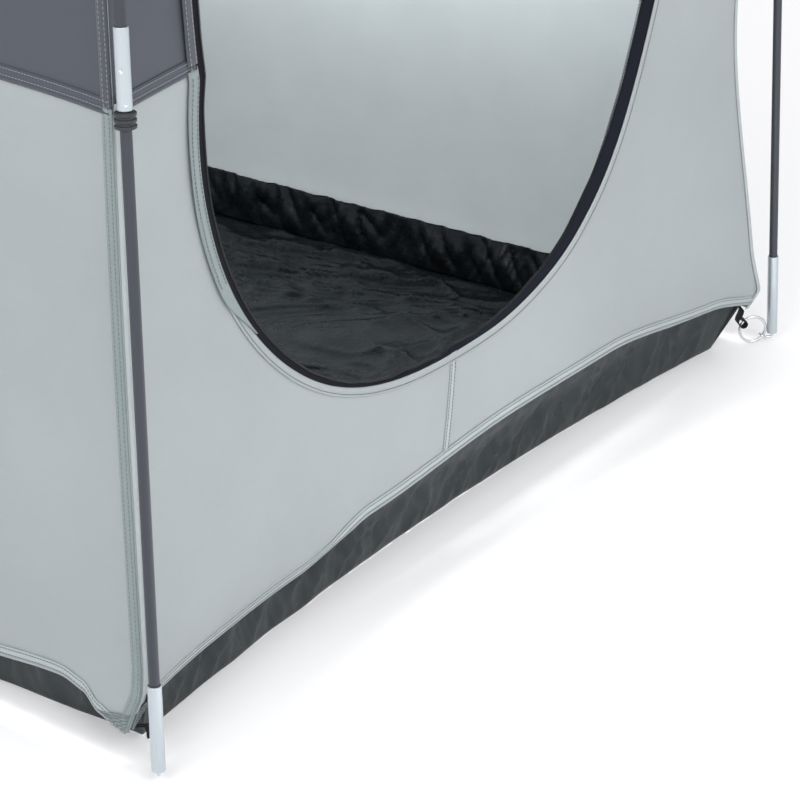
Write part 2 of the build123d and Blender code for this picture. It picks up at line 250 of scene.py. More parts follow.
FRONT_HEM = ((-0.53, 0.018), (-0.49, 0.050), (-0.40, 0.049), (-0.28, 0.054), (-0.17, 0.077),
             (0.08, 0.089), (0.26, 0.087), (0.47, 0.067), (0.545, 0.055))
LEFT_HEM = ((-0.535, 0.022), (-0.50, 0.050), (-0.25, 0.052), (0.10, 0.056), (0.33, 0.045),
            (0.44, 0.053), (0.468, 0.049), (0.487, 0.036), (0.53, 0.016))
PLAIN_HEM = ((-0.545, 0.050), (-0.47, 0.052), (-0.25, 0.046), (0.10, 0.050), (0.33, 0.045),
             (0.49, 0.050), (0.535, 0.022))
SIDES = {
    "front": Side("front", 0, 13 * MM, 20 * MM, 476 * MM, FRONT_HEM),
    "right": Side("right", 90, 5 * MM, 6 * MM, 514 * MM, PLAIN_HEM),
    "rear": Side("rear", 180, 5 * MM, 6 * MM, 514 * MM, PLAIN_HEM),
    "left": Side("left", 270, 5 * MM, 6 * MM, 514 * MM, LEFT_HEM),
}


def split_z(x):
    """The colour split dips a little towards the pole."""
    return SPLIT + 2 * MM - 10 * MM * min(1, abs(x) / corner_half(SPLIT)) ** 5


# ---------------------------------------------------------------- door outline
def door_path():
    """The opening's outline as (x, z), from the left at the split, down and round to it again."""
    points = []
    bottom = (DOOR_BOTTOM + DOOR_BOW, DOOR_BOW, -1)
    top = (DOOR_TOP - DOOR_TOP_BOW, DOOR_TOP_BOW, 1)
    for base, bow, sign in (bottom, top):
        for i in range(DOOR_STEPS + 1):
            turn = math.pi * i / DOOR_STEPS
            c = -math.cos(turn) * (-sign)
            x = DOOR_HALF * math.copysign(abs(c) ** (2 / DOOR_POWER), c)
            points.append(Vector((DOOR_X + x, base + sign * bow * abs(math.sin(turn)) ** (2 / DOOR_POWER))))
    return points


def even(points, count):
    """The same line as count + 1 evenly spaced points."""
    lengths = distances(points)
    result, j = [], 0
    for i in range(count + 1):
        want = lengths[-1] * i / count
        while j < len(points) - 2 and lengths[j + 1] < want:
            j += 1
        span = max(lengths[j + 1] - lengths[j], 1e-9)
        result.append(points[j].lerp(points[j + 1], min(1, (want - lengths[j]) / span)))
    return result


def door_lower(count):
    """The opening's edge below the split, from left to right."""
    ring = door_path()
    return even([p for p in ring[:DOOR_STEPS + 1] if p.y < SPLIT + SPLIT_LAP], count)


def door_upper(count):
    """The opening's edge above the split, from right, over the top, to left."""
    ring = door_path()
    low = ring[:DOOR_STEPS + 1]
    left = [p for p in low if p.y >= SPLIT + 1 * MM and p.x < DOOR_X]
    right = [p for p in low if p.y >= SPLIT + 1 * MM and p.x > DOOR_X]
    return even(right + ring[DOOR_STEPS + 1:] + left, count)


# ---------------------------------------------------------------- making pieces
def piece(name, bm, material, body="tent", thickness=0.0, smooth_faces=True, bevel=0.0, lining=None):
    """A finished mesh piece, riding on its body, with its material."""
    for f in bm.faces:
        f.smooth = smooth_faces
    mesh = bpy.data.meshes.new(name)
    bm.to_mesh(mesh)
    bm.free()
    made = bpy.data.objects.new(name, mesh)
    bpy.context.scene.collection.objects.link(made)
    mesh.materials.append(material)
    if thickness:
        solid = made.modifiers.new("thickness", "SOLIDIFY")
        solid.thickness = thickness
        solid.offset = 0
        if lining:
            mesh.materials.append(lining)
            solid.material_offset = 1
    if bevel:
        rounded = made.modifiers.new("edges", "BEVEL")
        rounded.width = bevel
        rounded.segments = 2
        rounded.limit_method = "ANGLE"
    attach(made, body)
    return made


def sheet_mesh(columns, rows, place, measure=None):
    """A grid laid out by place(u, v), with a UV map in metres."""
    bm = bmesh.new()
    bmesh.ops.create_grid(bm, x_segments=columns, y_segments=rows, size=0.5)
    layer = bm.loops.layers.uv.new("UVMap")
    uv = {}
    for v in bm.verts:
        a, b = v.co.x + 0.5, v.co.y + 0.5
        uv[v] = measure(a, b) if measure else (a, b)
        v.co = place(a, b)
    for f in bm.faces:
        for loop in f.loops:
            loop[layer].uv = uv[loop.vert]
    return bm


def box_on(bm, matrix, size):
    """A box of that size, set on a matrix."""
    bmesh.ops.create_cube(bm, size=1, matrix=matrix @ Matrix.Diagonal((*size, 1)))


def bridge(bm, a, b):
    """Faces between two rings of as many points each."""
    for k in range(len(a)):
        n = (k + 1) % len(a)
        bm.faces.new((a[k], b[k], b[n], a[n]))


def stitch_row(bm, path, normal, pitch=3.6 * MM, length=2.5 * MM, thick=0.55 * MM):
    """A row of sewn stitches along path, each a small rounded block."""
    count = max(2, int(distances(path)[-1] / pitch))
    marks = even(path, count)
    for i in range(count):
        a, b = marks[i], marks[i + 1]
        along = (b - a).normalized()
        up = normal(i / count)
        up = (up - along * up.dot(along)).normalized()
        turn = Matrix((along, up.cross(along), up)).transposed().to_4x4()
        box_on(bm, Matrix.Translation(a.lerp(b, 0.5)) @ turn, (length, thick, thick * 0.8))


# ---------------------------------------------------------------- materials
class Paint:
    """A material's node tree with short ways to add and link nodes."""

    def __init__(self, name):
        self.material = bpy.data.materials.new(name)
        self.material.use_nodes = True
        self.tree = self.material.node_tree
        self.tree.nodes.clear()
        self.out = self.add("ShaderNodeOutputMaterial")
        self.shader = self.add("ShaderNodeBsdfPrincipled")
        self.link(self.shader.outputs["BSDF"], self.out.inputs["Surface"])

    def add(self, kind, **values):
        node = self.tree.nodes.new(kind)
        for key, value in values.items():
            if hasattr(node, key):
                setattr(node, key, value)
            else:
                node.inputs[key].default_value = value
        return node

    def link(self, a, b):
        self.tree.links.new(a, b)

    def set(self, **values):
        for key, value in values.items():
            self.shader.inputs[key.replace("_", " ")].default_value = value

    def coords(self, kind="Object"):
        return self.add("ShaderNodeTexCoord").outputs[kind]

    def noise(self, vector, scale, detail=4, rough=0.55):
        node = self.add("ShaderNodeTexNoise")
        node.inputs["Scale"].default_value = scale
        node.inputs["Detail"].default_value = detail
        node.inputs["Roughness"].default_value = rough
        self.link(vector, node.inputs["Vector"])
        return node.outputs["Fac"]

    def stretch(self, vector, scale):
        node = self.add("ShaderNodeMapping")
        node.inputs["Scale"].default_value = scale
        self.link(vector, node.inputs["Vector"])
        return node.outputs["Vector"]

    def ramp(self, value, stops):
        node = self.add("ShaderNodeValToRGB")
        while len(node.color_ramp.elements) < len(stops):
            node.color_ramp.elements.new(0.5)
        for element, (at, colour) in zip(node.color_ramp.elements, stops):
            element.position = at
            element.color = (*colour, 1)
        self.link(value, node.inputs["Fac"])
        return node.outputs["Color"]

    def level(self, value, low, high, start=0.0, end=1.0):
        node = self.add("ShaderNodeMapRange")
        for key, number in (("From Min", start), ("From Max", end), ("To Min", low), ("To Max", high)):
            node.inputs[key].default_value = number
        self.link(value, node.inputs["Value"])
        return node.outputs["Result"]

    def maths(self, kind, a, b):
        node = self.add("ShaderNodeMath", operation=kind)
        for socket, value in zip(node.inputs, (a, b)):
            if isinstance(value, (int, float)):
                socket.default_value = value
            else:
                self.link(value, socket)
        return node.outputs["Value"]

    def bump(self, height, distance, strength=1.0, before=None):
        node = self.add("ShaderNodeBump")
        node.inputs["Distance"].default_value = distance
        node.inputs["Strength"].default_value = strength
        self.link(height, node.inputs["Height"])
        if before:
            self.link(before, node.inputs["Normal"])
        return node.outputs["Normal"]


def shade(rgb, by):
    return tuple(min(1, c * by) for c in rgb)


def srgb(r, g, b):
    """A linear colour from screen values of 0 to 255."""
    def linear(c):
        return c / 12.92 if c <= 0.04045 else ((c + 0.055) / 1.055) ** 2.4

    return tuple(linear(c / 255) for c in (r, g, b))


def weave_group():
    """Plain weave: over and under threads from a vector in metres."""
    group = bpy.data.node_groups.new("plain_weave", "ShaderNodeTree")
    group.interface.new_socket("Vector", in_out="INPUT", socket_type="NodeSocketVector")
    group.interface.new_socket("Threads per metre", in_out="INPUT", socket_type="NodeSocketFloat")
    group.interface.new_socket("Height", in_out="OUTPUT", socket_type="NodeSocketFloat")
    nodes, links = group.nodes, group.links
    given, result = nodes.new("NodeGroupInput"), nodes.new("NodeGroupOutput")
    split = nodes.new("ShaderNodeSeparateXYZ")
    links.new(given.outputs["Vector"], split.inputs["Vector"])

    def maths(kind, *values):
        node = nodes.new("ShaderNodeMath")
        node.operation = kind
        for socket, value in zip(node.inputs, values):
            if isinstance(value, float):
                socket.default_value = value
            else:
                links.new(value, socket)
        return node.outputs[0]

    waves = []
    for axis in ("X", "Y"):
        threads = maths("MULTIPLY", split.outputs[axis], given.outputs["Threads per metre"])
        waves.append(maths("SINE", maths("MULTIPLY", threads, math.pi)))
    height = maths("MULTIPLY", *waves)
    links.new(height, result.inputs["Height"])
    return group


WEAVE = weave_group()


def cloth(name, colour, rough, through_light, sheen=0.15, crinkle=0.0):
    """Woven tent cloth with faint slubs, soft creases and some light coming through."""
    p = Paint(name)
    uv = p.coords("UV")
    where = p.coords()
    weave = p.add("ShaderNodeGroup")
    weave.node_tree = WEAVE
    p.link(uv, weave.inputs["Vector"])
    weave.inputs["Threads per metre"].default_value = THREADS
    cloud = p.noise(where, 5.5, 5, 0.6)
    slub = p.noise(p.stretch(uv, (30, 900, 1)), 1.0, 2)
    tone = p.maths("ADD", p.maths("MULTIPLY", cloud, 0.75), p.maths("MULTIPLY", slub, 0.25))
    mixed = p.ramp(tone, ((0.3, shade(colour, 0.93)), (0.7, shade(colour, 1.05))))
    p.link(mixed, p.shader.inputs["Base Color"])
    p.set(Sheen_Weight=sheen, Sheen_Roughness=0.5, IOR=1.42)
    p.link(p.level(cloud, rough - 0.06, rough + 0.06, 0.3, 0.7), p.shader.inputs["Roughness"])
    normal = p.bump(p.noise(where, 38, 5, 0.6), 0.0012 + crinkle, 0.35)
    normal = p.bump(weave.outputs["Height"], 0.00012, 0.5, normal)
    p.link(normal, p.shader.inputs["Normal"])
    if through_light:
        glow = p.add("ShaderNodeBsdfTranslucent")
        p.link(mixed, glow.inputs["Color"])
        p.link(normal, glow.inputs["Normal"])
        mix = p.add("ShaderNodeMixShader")
        mix.inputs["Fac"].default_value = through_light
        p.link(p.shader.outputs["BSDF"], mix.inputs[1])
        p.link(glow.outputs["BSDF"], mix.inputs[2])
        p.link(mix.outputs["Shader"], p.out.inputs["Surface"])
    return p.material


LIGHT_GREY = srgb(165, 172, 174)
DARK_GREY = srgb(72, 76, 86)
TUB_GREY = srgb(40, 47, 49)
FLOOR_BLACK = srgb(8, 11, 13)

light_cloth = cloth("light_grey_cloth", LIGHT_GREY, 0.62, 0.17)
light_hem = cloth("light_hem_cloth", srgb(162, 170, 172), 0.6, 0.0)
seam_cloth = cloth("grey_green_seam_cloth", srgb(127, 138, 139), 0.6, 0.0)
dark_cloth = cloth("dark_grey_cloth", DARK_GREY, 0.55, 0.12)
dark_hem = cloth("dark_hem_cloth", srgb(68, 71, 80), 0.55, 0.0)


def coated_cloth(name, colour, rough, coat):
    """Coated groundsheet cloth: glossy, with fine sharp crinkles."""
    p = Paint(name)
    where = p.coords()
    cloud = p.noise(where, 7, 6, 0.65)
    mixed = p.ramp(cloud, ((0.25, shade(colour, 0.78)), (0.75, shade(colour, 1.18))))
    p.link(mixed, p.shader.inputs["Base Color"])
    gloss = p.level(p.noise(where, 24, 4), rough - 0.08, rough + 0.10, 0.3, 0.7)
    p.link(gloss, p.shader.inputs["Roughness"])
    p.set(Coat_Weight=coat, Coat_Roughness=0.22, IOR=1.40)
    fine = p.noise(where, 85, 6, 0.7)
    broad = p.noise(where, 26, 5, 0.62)
    normal = p.bump(fine, 0.0016, 0.45, p.bump(broad, 0.006, 0.5))
    p.link(normal, p.shader.inputs["Normal"])
    return p.material


tub_cloth = coated_cloth("tub_side_cloth", TUB_GREY, 0.50, 0.05)
floor_cloth = coated_cloth("black_floor_cloth", FLOOR_BLACK, 0.26, 0.1)


def plain(name, colour, rough, metal=0.0, grain=(300, 300, 300), depth=0.00015, spread=0.06, tone=0.06,
          shine=0.5):
    """A solid finish with grain in its colour, gloss and surface."""
    p = Paint(name)
    where = p.coords()
    streak = p.noise(p.stretch(where, grain), 1.0, 4, 0.6)
    mixed = p.ramp(streak, ((0.3, shade(colour, 1 - tone)), (0.7, shade(colour, 1 + tone))))
    p.link(mixed, p.shader.inputs["Base Color"])
    p.link(p.level(streak, rough - spread, rough + spread, 0.3, 0.7), p.shader.inputs["Roughness"])
    p.set(Metallic=metal, Specular_IOR_Level=shine)
    p.link(p.bump(streak, depth, 0.5), p.shader.inputs["Normal"])
    return p.material


wire_finish = plain("bright_wire", srgb(214, 217, 219), 0.2, 1.0, grain=(900, 900, 900), depth=0.00003)
webbing_finish = plain("black_webbing", srgb(30, 33, 35), 0.8, grain=(500, 500, 1500), depth=0.0004,
                       tone=0.25, shine=0.2)
plastic_finish = plain("black_plastic", srgb(40, 43, 47), 0.45, grain=(900, 900, 900), depth=0.0001)
zip_finish = plain("zip_tape_cloth", srgb(17, 19, 25), 0.8, grain=(1200, 1200, 1200), depth=0.0002,
                   tone=0.2, shine=0.12)
coil_finish = plain("zip_coil", srgb(18, 19, 23), 0.4, grain=(700, 700, 700), depth=0.0001, shine=0.3)
slider_finish = plain("black_zip_metal", srgb(34, 35, 38), 0.35, 0.7, grain=(800, 800, 800), depth=0.00005)
light_thread = plain("light_thread", srgb(206, 212, 213), 0.7, grain=(2000, 2000, 2000), depth=0.0001)
seam_thread = plain("grey_thread", srgb(100, 110, 112), 0.7, grain=(2000, 2000, 2000), depth=0.0001)
dark_thread = plain("dark_thread", srgb(138, 143, 153), 0.7, grain=(2000, 2000, 2000), depth=0.0001)
cord_finish = plain("shock_cord_braid", srgb(210, 210, 208), 0.8, grain=(900, 900, 900), depth=0.0002)


# ---------------------------------------------------------------- walls
def ring_grid(inner, outer, rows, side, out=0.0, gather=1.5):
    """A sheet between two matched outlines on a wall, closer together near the first."""
    count = len(inner) - 1

    def flat(u, v):
        i = round(u * count)
        return inner[i].lerp(outer[i], v ** gather)

    def place(u, v):
        p = flat(u, v)
        return side.cloth(p.x, p.y, out)

    return sheet_mesh(count, rows, place, lambda u, v: tuple(flat(u, v)))


def tip(side, sign):
    """Where a side's hem meets its corner edge, as (x, z)."""
    low, high = 0.010, 0.075
    for _ in range(40):
        z = (low + high) / 2
        if side.hem_z(sign * corner_half(z)) > z:
            low = z
        else:
            high = z
    return sign * corner_half(z), z


def front_lower_outline(side, count):
    """Outer edge of the front lower wall, from the split on the left, down, along and up."""
    (x0, z0), (x1, z1) = tip(side, -1), tip(side, 1)
    left = [Vector((-corner_half(z), z)) for z in spread(SPLIT + SPLIT_LAP, z0, 60)[:-1]]
    foot = [Vector((x, side.hem_z(x))) for x in spread(x0, x1, 160)]
    right = [Vector((corner_half(z), z)) for z in spread(z1, SPLIT + SPLIT_LAP, 60)[1:]]
    return even(left + foot + right, count)


def front_upper_outline(count):
    """Outer edge of the front upper wall, from the split on the right, up, over and down."""
    low = split_z(0.48)
    right = [Vector((corner_half(z), z)) for z in spread(low, EAVE, 60)]
    top = [Vector((x, EAVE)) for x in spread(corner_half(EAVE), -corner_half(EAVE), 60)]
    left = [Vector((-corner_half(z), z)) for z in spread(EAVE, low, 60)]
    return even(right + top + left, count)


front = SIDES["front"]
inner = door_lower(200)
outer = front_lower_outline(front, 200)
lower = piece("front_wall_lower_cloth", ring_grid(inner, outer, 44, front), light_cloth,
              thickness=CLOTH)
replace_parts(lower, "front_wall_lower")

inner_up = door_upper(260)
outer_up = front_upper_outline(260)
upper = piece("front_wall_upper_cloth", ring_grid(inner_up, outer_up, 30, front, 0.5 * MM), dark_cloth,
              thickness=CLOTH)
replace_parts(upper, "front_wall_upper")


def whole_panel(side, low, high, columns, rows, out=0.0, hole=None):
    """A wall panel from corner to corner, from the line low(x) up to a height."""
    def flat(u, v):
        share = lerp(-1, 1, u)
        x = share * corner_half(max(lerp(low(0), high, v), 0.05))
        x = share * corner_half(max(low(x), 0.01))
        z = lerp(low(x), high, v)
        return share * corner_half(max(z, 0.01)), z

    def place(u, v):
        x, z = flat(u, v)
        return side.cloth(x, z, out)

    bm = sheet_mesh(columns, rows, place, flat)
    if hole:
        middle, radius = hole
        gone = [f for f in bm.faces if ((f.calc_center_median() - middle).xz.length < radius)]
        bmesh.ops.delete(bm, geom=gone, context="FACES")
    return bm


vent_low, vent_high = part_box("rear_vent_mesh")
VENT_Z = (vent_low.z + vent_high.z) / 2
VENT_R = (vent_high.x - vent_low.x) / 2
for key in ("right", "rear", "left"):
    side = SIDES[key]
    light = piece(f"{key}_wall_lower_cloth", whole_panel(side, side.hem_z, SPLIT + SPLIT_LAP, 130, 70),
                  light_cloth, thickness=CLOTH)
    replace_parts(light, f"{key}_wall_lower")
    hole = (Vector((0, 0, VENT_Z)), VENT_R) if key == "rear" else None
    dark = piece(f"{key}_wall_upper_cloth", whole_panel(side, split_z, EAVE, 100, 106, 0.5 * MM, hole),
                 dark_cloth, thickness=CLOTH)
    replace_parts(dark, f"{key}_wall_upper")


VENT_EDGE = 5 * MM


def vent():
    """The round mesh panel, with its edge tucked under the binding."""
    side = SIDES["rear"]
    bm = bmesh.new()
    bmesh.ops.create_circle(bm, cap_ends=True, segments=72, radius=VENT_R + VENT_EDGE)
    cap = list(bm.faces)
    for _ in range(9):
        bmesh.ops.inset_region(bm, faces=cap, thickness=(VENT_R + VENT_EDGE) / 10)
    layer = bm.loops.layers.uv.new("UVMap")
    for f in bm.faces:
        for loop in f.loops:
            loop[layer].uv = loop.vert.co.xy
    for v in bm.verts:
        v.co = side.cloth(v.co.x, VENT_Z + v.co.y, -0.8 * MM)
    return bm


def mesh_cloth():
    """Open mesh: dark threads with see-through holes between them."""
    p = Paint("vent_mesh")
    uv = p.coords("UV")
    split = p.add("ShaderNodeSeparateXYZ")
    p.link(uv, split.inputs["Vector"])
    lines = []
    for axis in ("X", "Y"):
        wave = p.maths("SINE", p.maths("MULTIPLY", split.outputs[axis], 2 * math.pi * 620), 0)
        lines.append(p.maths("GREATER_THAN", wave, 0.15))
    thread = p.maths("MAXIMUM", lines[0], lines[1])
    p.link(p.level(thread, 0.12, 1.0), p.shader.inputs["Alpha"])
    p.shader.inputs["Base Color"].default_value = (*srgb(42, 43, 48), 1)
    p.set(Roughness=0.75)
    p.link(p.bump(thread, 0.0002, 0.6), p.shader.inputs["Normal"])
    return p.material


made = piece("rear_vent", vent(), mesh_cloth(), thickness=0.3 * MM)
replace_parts(made, "rear_vent_mesh")


def vent_rim():
    """The binding sewn round the vent."""
    side = SIDES["rear"]
    bm = bmesh.new()
    bmesh.ops.create_grid(bm, x_segments=96, y_segments=3, size=0.5)
    for v in bm.verts:
        turn = 2 * math.pi * (v.co.x + 0.5)
        r = VENT_R - 7 * MM + 14 * MM * (v.co.y + 0.5)
        v.co = side.cloth(r * math.cos(turn), VENT_Z + r * math.sin(turn), 1.4 * MM)
    bmesh.ops.remove_doubles(bm, verts=bm.verts, dist=0.0001)
    return bm


piece("rear_vent_binding", vent_rim(), dark_hem, thickness=0.9 * MM)


# ---------------------------------------------------------------- roof and crown
ROOF_R = ARC_R - CLIP_GAP
ROOF_START = math.asin((EAVE - ARC_Z) / ROOF_R)
ROOF_STOP = math.acos(CROWN_HALF * math.sqrt(2) / ROOF_R)


def roof_half(turn):
    """Half width of a roof panel, so far up the arc."""
    return ROOF_R * math.cos(turn) / math.sqrt(2)


def roof(side):
    """One roof panel: its corners follow the poles' arc up to the crown patch."""
    def flat(u, v):
        turn = lerp(ROOF_START, ROOF_STOP, v)
        half = roof_half(turn)
        return lerp(-1, 1, u) * half, half, ARC_Z + ROOF_R * math.sin(turn), turn

    def place(u, v):
        x, half, z, turn = flat(u, v)
        bow = min(side.wall_bow, half / 10) * (1 - (x / half) ** 2)
        sag = noise.noise(Vector((x * 5, turn * 3, 2)) + side.seed) * 2.0 * MM * (1 - (x / half) ** 2)
        return side.turn @ Vector((x, -(half - bow), z + sag - 0.4 * MM))

    return sheet_mesh(60, 50, place, lambda u, v: (flat(u, v)[0], ROOF_R * flat(u, v)[3]))


made = [piece(f"roof_panel_{key}", roof(side), dark_cloth, thickness=CLOTH)
        for key, side in SIDES.items()]
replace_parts(made[0], "roof_panels")


def roof_point(side, share, turn, out):
    """A point on a roof panel: share runs across it, turn up the arc."""
    half = roof_half(turn)
    bow = min(side.wall_bow, half / 10) * (1 - share ** 2)
    p = Vector((share * half, -(half - bow), ARC_Z + ROOF_R * math.sin(turn)))
    away = Vector((0, -math.cos(turn), math.sin(turn)))
    return side.turn @ (p + away * out)


def roof_seam(side, sign):
    """The folded seam along a roof panel's corner edge."""
    def place(u, v):
        turn = lerp(ROOF_START, ROOF_STOP, u)
        share = 1 - lerp(0.5 * MM, 11 * MM, v) / roof_half(turn)
        return roof_point(side, sign * share, turn, 1.2 * MM + 0.7 * MM * math.sin(math.pi * v))

    bm = bmesh.new()
    for offset in (3.2 * MM, 8.2 * MM):
        row = [roof_point(side, sign * (1 - offset / roof_half(turn)), turn, 2.2 * MM)
               for turn in spread(ROOF_START, ROOF_STOP, 120)]
        stitch_row(bm, row, lambda t: side.turn @ Vector((0, -0.6, 0.8)), 4.2 * MM, 2.8 * MM)
    return sheet_mesh(120, 4, place, lambda u, v: (u, v * 0.011)), bm


for key, side in SIDES.items():
    for sign, end in ((-1, "low_x"), (1, "high_x")):
        seam, sewn = roof_seam(side, sign)
        piece(f"roof_seam_{key}_{end}", seam, dark_hem, thickness=0.8 * MM)
        piece(f"roof_seam_{key}_{end}_stitches", sewn, dark_thread)


def crown():
    """The square patch where the four roof panels meet, a little domed."""
    def place(u, v):
        x, y = lerp(-1, 1, u) * (CROWN_HALF - 1 * MM), lerp(-1, 1, v) * (CROWN_HALF - 1 * MM)
        lift = math.cos(math.pi * x / (2 * CROWN_HALF)) * math.cos(math.pi * y / (2 * CROWN_HALF))
        return Vector((x, y, CROWN_TOP - 0.6 * MM + lift * 0.48 * MM))

    return sheet_mesh(24, 24, place, lambda u, v: (0.12 * u, 0.12 * v))


made = piece("crown_patch_cloth", crown(), dark_hem, thickness=0.8 * MM)
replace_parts(made, "crown_patch")


# ---------------------------------------------------------------- tub and floor
def foot_depth(side, x):
    """Where the tub stands on the ground, a little uneven."""
    near = 1 - min(1, abs(x) / GROUND_CORNER) ** 10
    return side.ground_depth(x) + noise.noise(Vector((x * 18, 2, 9)) + side.seed) * 2 * MM * near


def tub(side):
    """One side of the bathtub floor, tucked up behind the hem, with its pleats."""
    def pleat(x, t):
        q = Vector((x * 30 - t * 0.9, t * 0.8, 7)) + side.seed
        r = Vector((x * 75 + t * 1.5, t * 1.2, 1)) + side.seed
        deep = (1 - (1 - abs(noise.noise(q))) ** 3) * 9 * MM
        deep += (1 - (1 - abs(noise.noise(r))) ** 3) * 3.5 * MM
        return deep * math.sin(math.pi * min(1, t * 0.92))

    rise, behind = (22 * MM, 5 * MM) if side.name == "front" else (-9 * MM, 9 * MM)

    def place(u, v):
        share = lerp(-1, 1, u)
        z = lerp(1.2 * MM, TUB_TOP + rise, v)
        t = min(1, z / TUB_TOP)
        x = share * lerp(GROUND_CORNER, corner_half(TUB_TOP) - 2 * MM, t)
        foot = foot_depth(side, x)
        top = side.depth(x, max(z, TUB_TOP)) - behind
        edge = 1 - min(1, abs(share)) ** 10
        # the cloth bellies out above the ground, then leans back to the hem
        depth = lerp(foot, top, t ** 0.85) - pleat(x, t) * edge
        return side.turn @ Vector((x, -depth, z))

    return sheet_mesh(330, 26, place, lambda u, v: (u * 1.03, v * 0.1))


tubs = [piece(f"tub_side_{key}", tub(SIDES[key]), tub_cloth, thickness=CLOTH,
              lining=floor_cloth) for key in SIDES]
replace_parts(tubs[0], "tub_sides")


def floor_wrinkle(x, y):
    """Height of the floor's folds: broad ones, sharper ones and fine ones."""
    p = Vector((x * 3.4, y * 3.4, 0.3))
    bend = Vector((noise.noise(p * 1.2), noise.noise(p * 1.2 + Vector((9, 4, 2))), 0)) * 0.9
    q = p + bend
    folds = (1 - abs(noise.noise(q * 1.4))) ** 7 * 9.0 + (1 - abs(noise.noise(q * 3.1))) ** 7 * 6.0
    fine = (1 - abs(noise.noise(q * 7.0))) ** 5 * 3.0 + noise.noise(q * 12) * 0.5
    return (folds + fine) * MM


def floor():
    """The floor inside the tub, to the same edge as the tub's foot."""
    def place(u, v):
        x, y = lerp(-1, 1, u) * 0.5, lerp(-1, 1, v) * 0.5
        across, along = x * 2 * GROUND_CORNER, y * 2 * GROUND_CORNER
        half_x = foot_depth(SIDES["right"], along) if x > 0 else foot_depth(SIDES["left"], -along)
        half_y = foot_depth(SIDES["rear"], -across) if y > 0 else foot_depth(SIDES["front"], across)
        x, y = x * 2 * half_x, y * 2 * half_y
        near = min(1, (1 - max(abs(lerp(-1, 1, u)), abs(lerp(-1, 1, v)))) * 30)
        return Vector((x, y, 1.3 * MM + floor_wrinkle(x, y) * near))

    return sheet_mesh(300, 300, place, lambda u, v: (u * 1.02, v * 1.02))


made = piece("tub_floor_cloth", floor(), floor_cloth, thickness=CLOTH)
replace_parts(made, "tub_floor")


# ---------------------------------------------------------------- hems, seams and stitching
def line_on(side, points, out):
    return [side.cloth(x, z, out) for x, z in points]


def band(name, side, upper_line, lower_line, out, material, thickness=0.5 * MM, bulge=0.0):
    """A sewn band between two lines on a wall, standing a little proud of it."""
    count = len(upper_line) - 1

    def place(u, v):
        i = round(u * count)
        x, z = (lerp(a, b, v) for a, b in zip(upper_line[i], lower_line[i]))
        return side.cloth(x, z, out + bulge * math.sin(math.pi * v))

    lengths = [upper_line[i][0] for i in range(count + 1)]
    return piece(name, sheet_mesh(count, 5, place, lambda u, v: (lengths[round(u * count)], v * 0.01)),
                 material, thickness=thickness)


def stitches(name, side, lines, out, material, pitch=3.6 * MM, length=2.5 * MM):
    """Rows of stitches along lines of a wall, as one piece."""
    bm = bmesh.new()
    outward = side.turn @ Vector((0, -1, 0))
    for points in lines:
        stitch_row(bm, line_on(side, points, out), lambda t: outward, pitch, length)
    return piece(name, bm, material)


def hem_line(side, up, margin=2.5 * MM, count=300):
    """The wall's lower edge from tip to tip, shifted up."""
    low, high = tip(side, -1)[0] + margin, tip(side, 1)[0] - margin
    return [(x, side.hem_z(x) + up) for x in spread(low, high, count)]


def split_line(up, spans):
    """The colour split's line over spans of the wall's width, shifted up."""
    result = []
    for a, b in spans:
        count = max(12, int(abs(b - a) / (5 * MM)))
        result.append([(x, split_z(x) + up) for x in spread(a, b, count)])
    return result


def opening_at(z):
    """Left and right edges of the door opening at height z."""
    path = door_path()
    left = min((abs(p.y - z), p.x) for p in path if p.x < DOOR_X)[1]
    right = min((abs(p.y - z), p.x) for p in path if p.x > DOOR_X)[1]
    return left, right


for key, side in SIDES.items():
    top, low, edge_top, edge_low, *rows = [hem_line(side, up * MM) for up in (10, -0.6, 1.4, -0.9, 8.0, 2.6)]
    band(f"{key}_hem_band", side, top, low, 0.9 * MM, light_hem, thickness=1.1 * MM,
         bulge=0.5 * MM)
    band(f"{key}_hem_edge", side, edge_top, edge_low, 1.5 * MM, light_cloth,
         thickness=1.2 * MM, bulge=0.4 * MM)
    stitches(f"{key}_hem_stitches", side, rows, 2.0 * MM, seam_thread)
    reach = corner_half(SPLIT) - 3 * MM
    if key == "front":
        left, right = opening_at(SPLIT)
        spans = ((-reach, left), (right, reach))
    else:
        spans = ((-reach, reach),)
    split_lines = [split_line(up * MM, spans) for up in (11, -0.4, 1.2, 3.4, 9.0)]
    for n, (top, low, edge, row_a, row_b) in enumerate(zip(*split_lines), 1):
        under = [(x, z - 1.2 * MM) for x, z in low]
        band(f"{key}_split_hem_{n}", side, top, low, 1.3 * MM, dark_cloth, bulge=0.5 * MM)
        band(f"{key}_split_edge_{n}", side, edge, under, 1.6 * MM, dark_hem, bulge=0.5 * MM)
        stitches(f"{key}_split_stitches_{n}", side, [row_a, row_b], 2.4 * MM, dark_thread,
                 pitch=3.4 * MM, length=2.3 * MM)


for key, side in SIDES.items():
    reach = corner_half(EAVE) - 4 * MM
    across = spread(-reach, reach, 120)
    top, low, *rows = [[(x, EAVE - down * MM) for x in across] for down in (0.5, 10, 2.6, 7.6)]
    band(f"{key}_eave_seam", side, top, low, 1.2 * MM, dark_hem, thickness=0.8 * MM,
         bulge=0.6 * MM)
    stitches(f"{key}_eave_stitches", side, rows, 2.3 * MM, dark_thread, pitch=4.2 * MM,
             length=2.8 * MM)


# the vertical seam below the door's lowest point
seam_x = -35 * MM
seam_low = front.hem_z(seam_x) + 2 * MM
seam_heights = spread(DOOR_BOTTOM + 1 * MM, seam_low, 40)


def seam_at(z, offset):
    """The seam leans a little to the left on its way down."""
    return (seam_x + 5 * MM - 16 * MM * (seam_heights[0] - z) / (seam_heights[0] - seam_low) + offset, z)


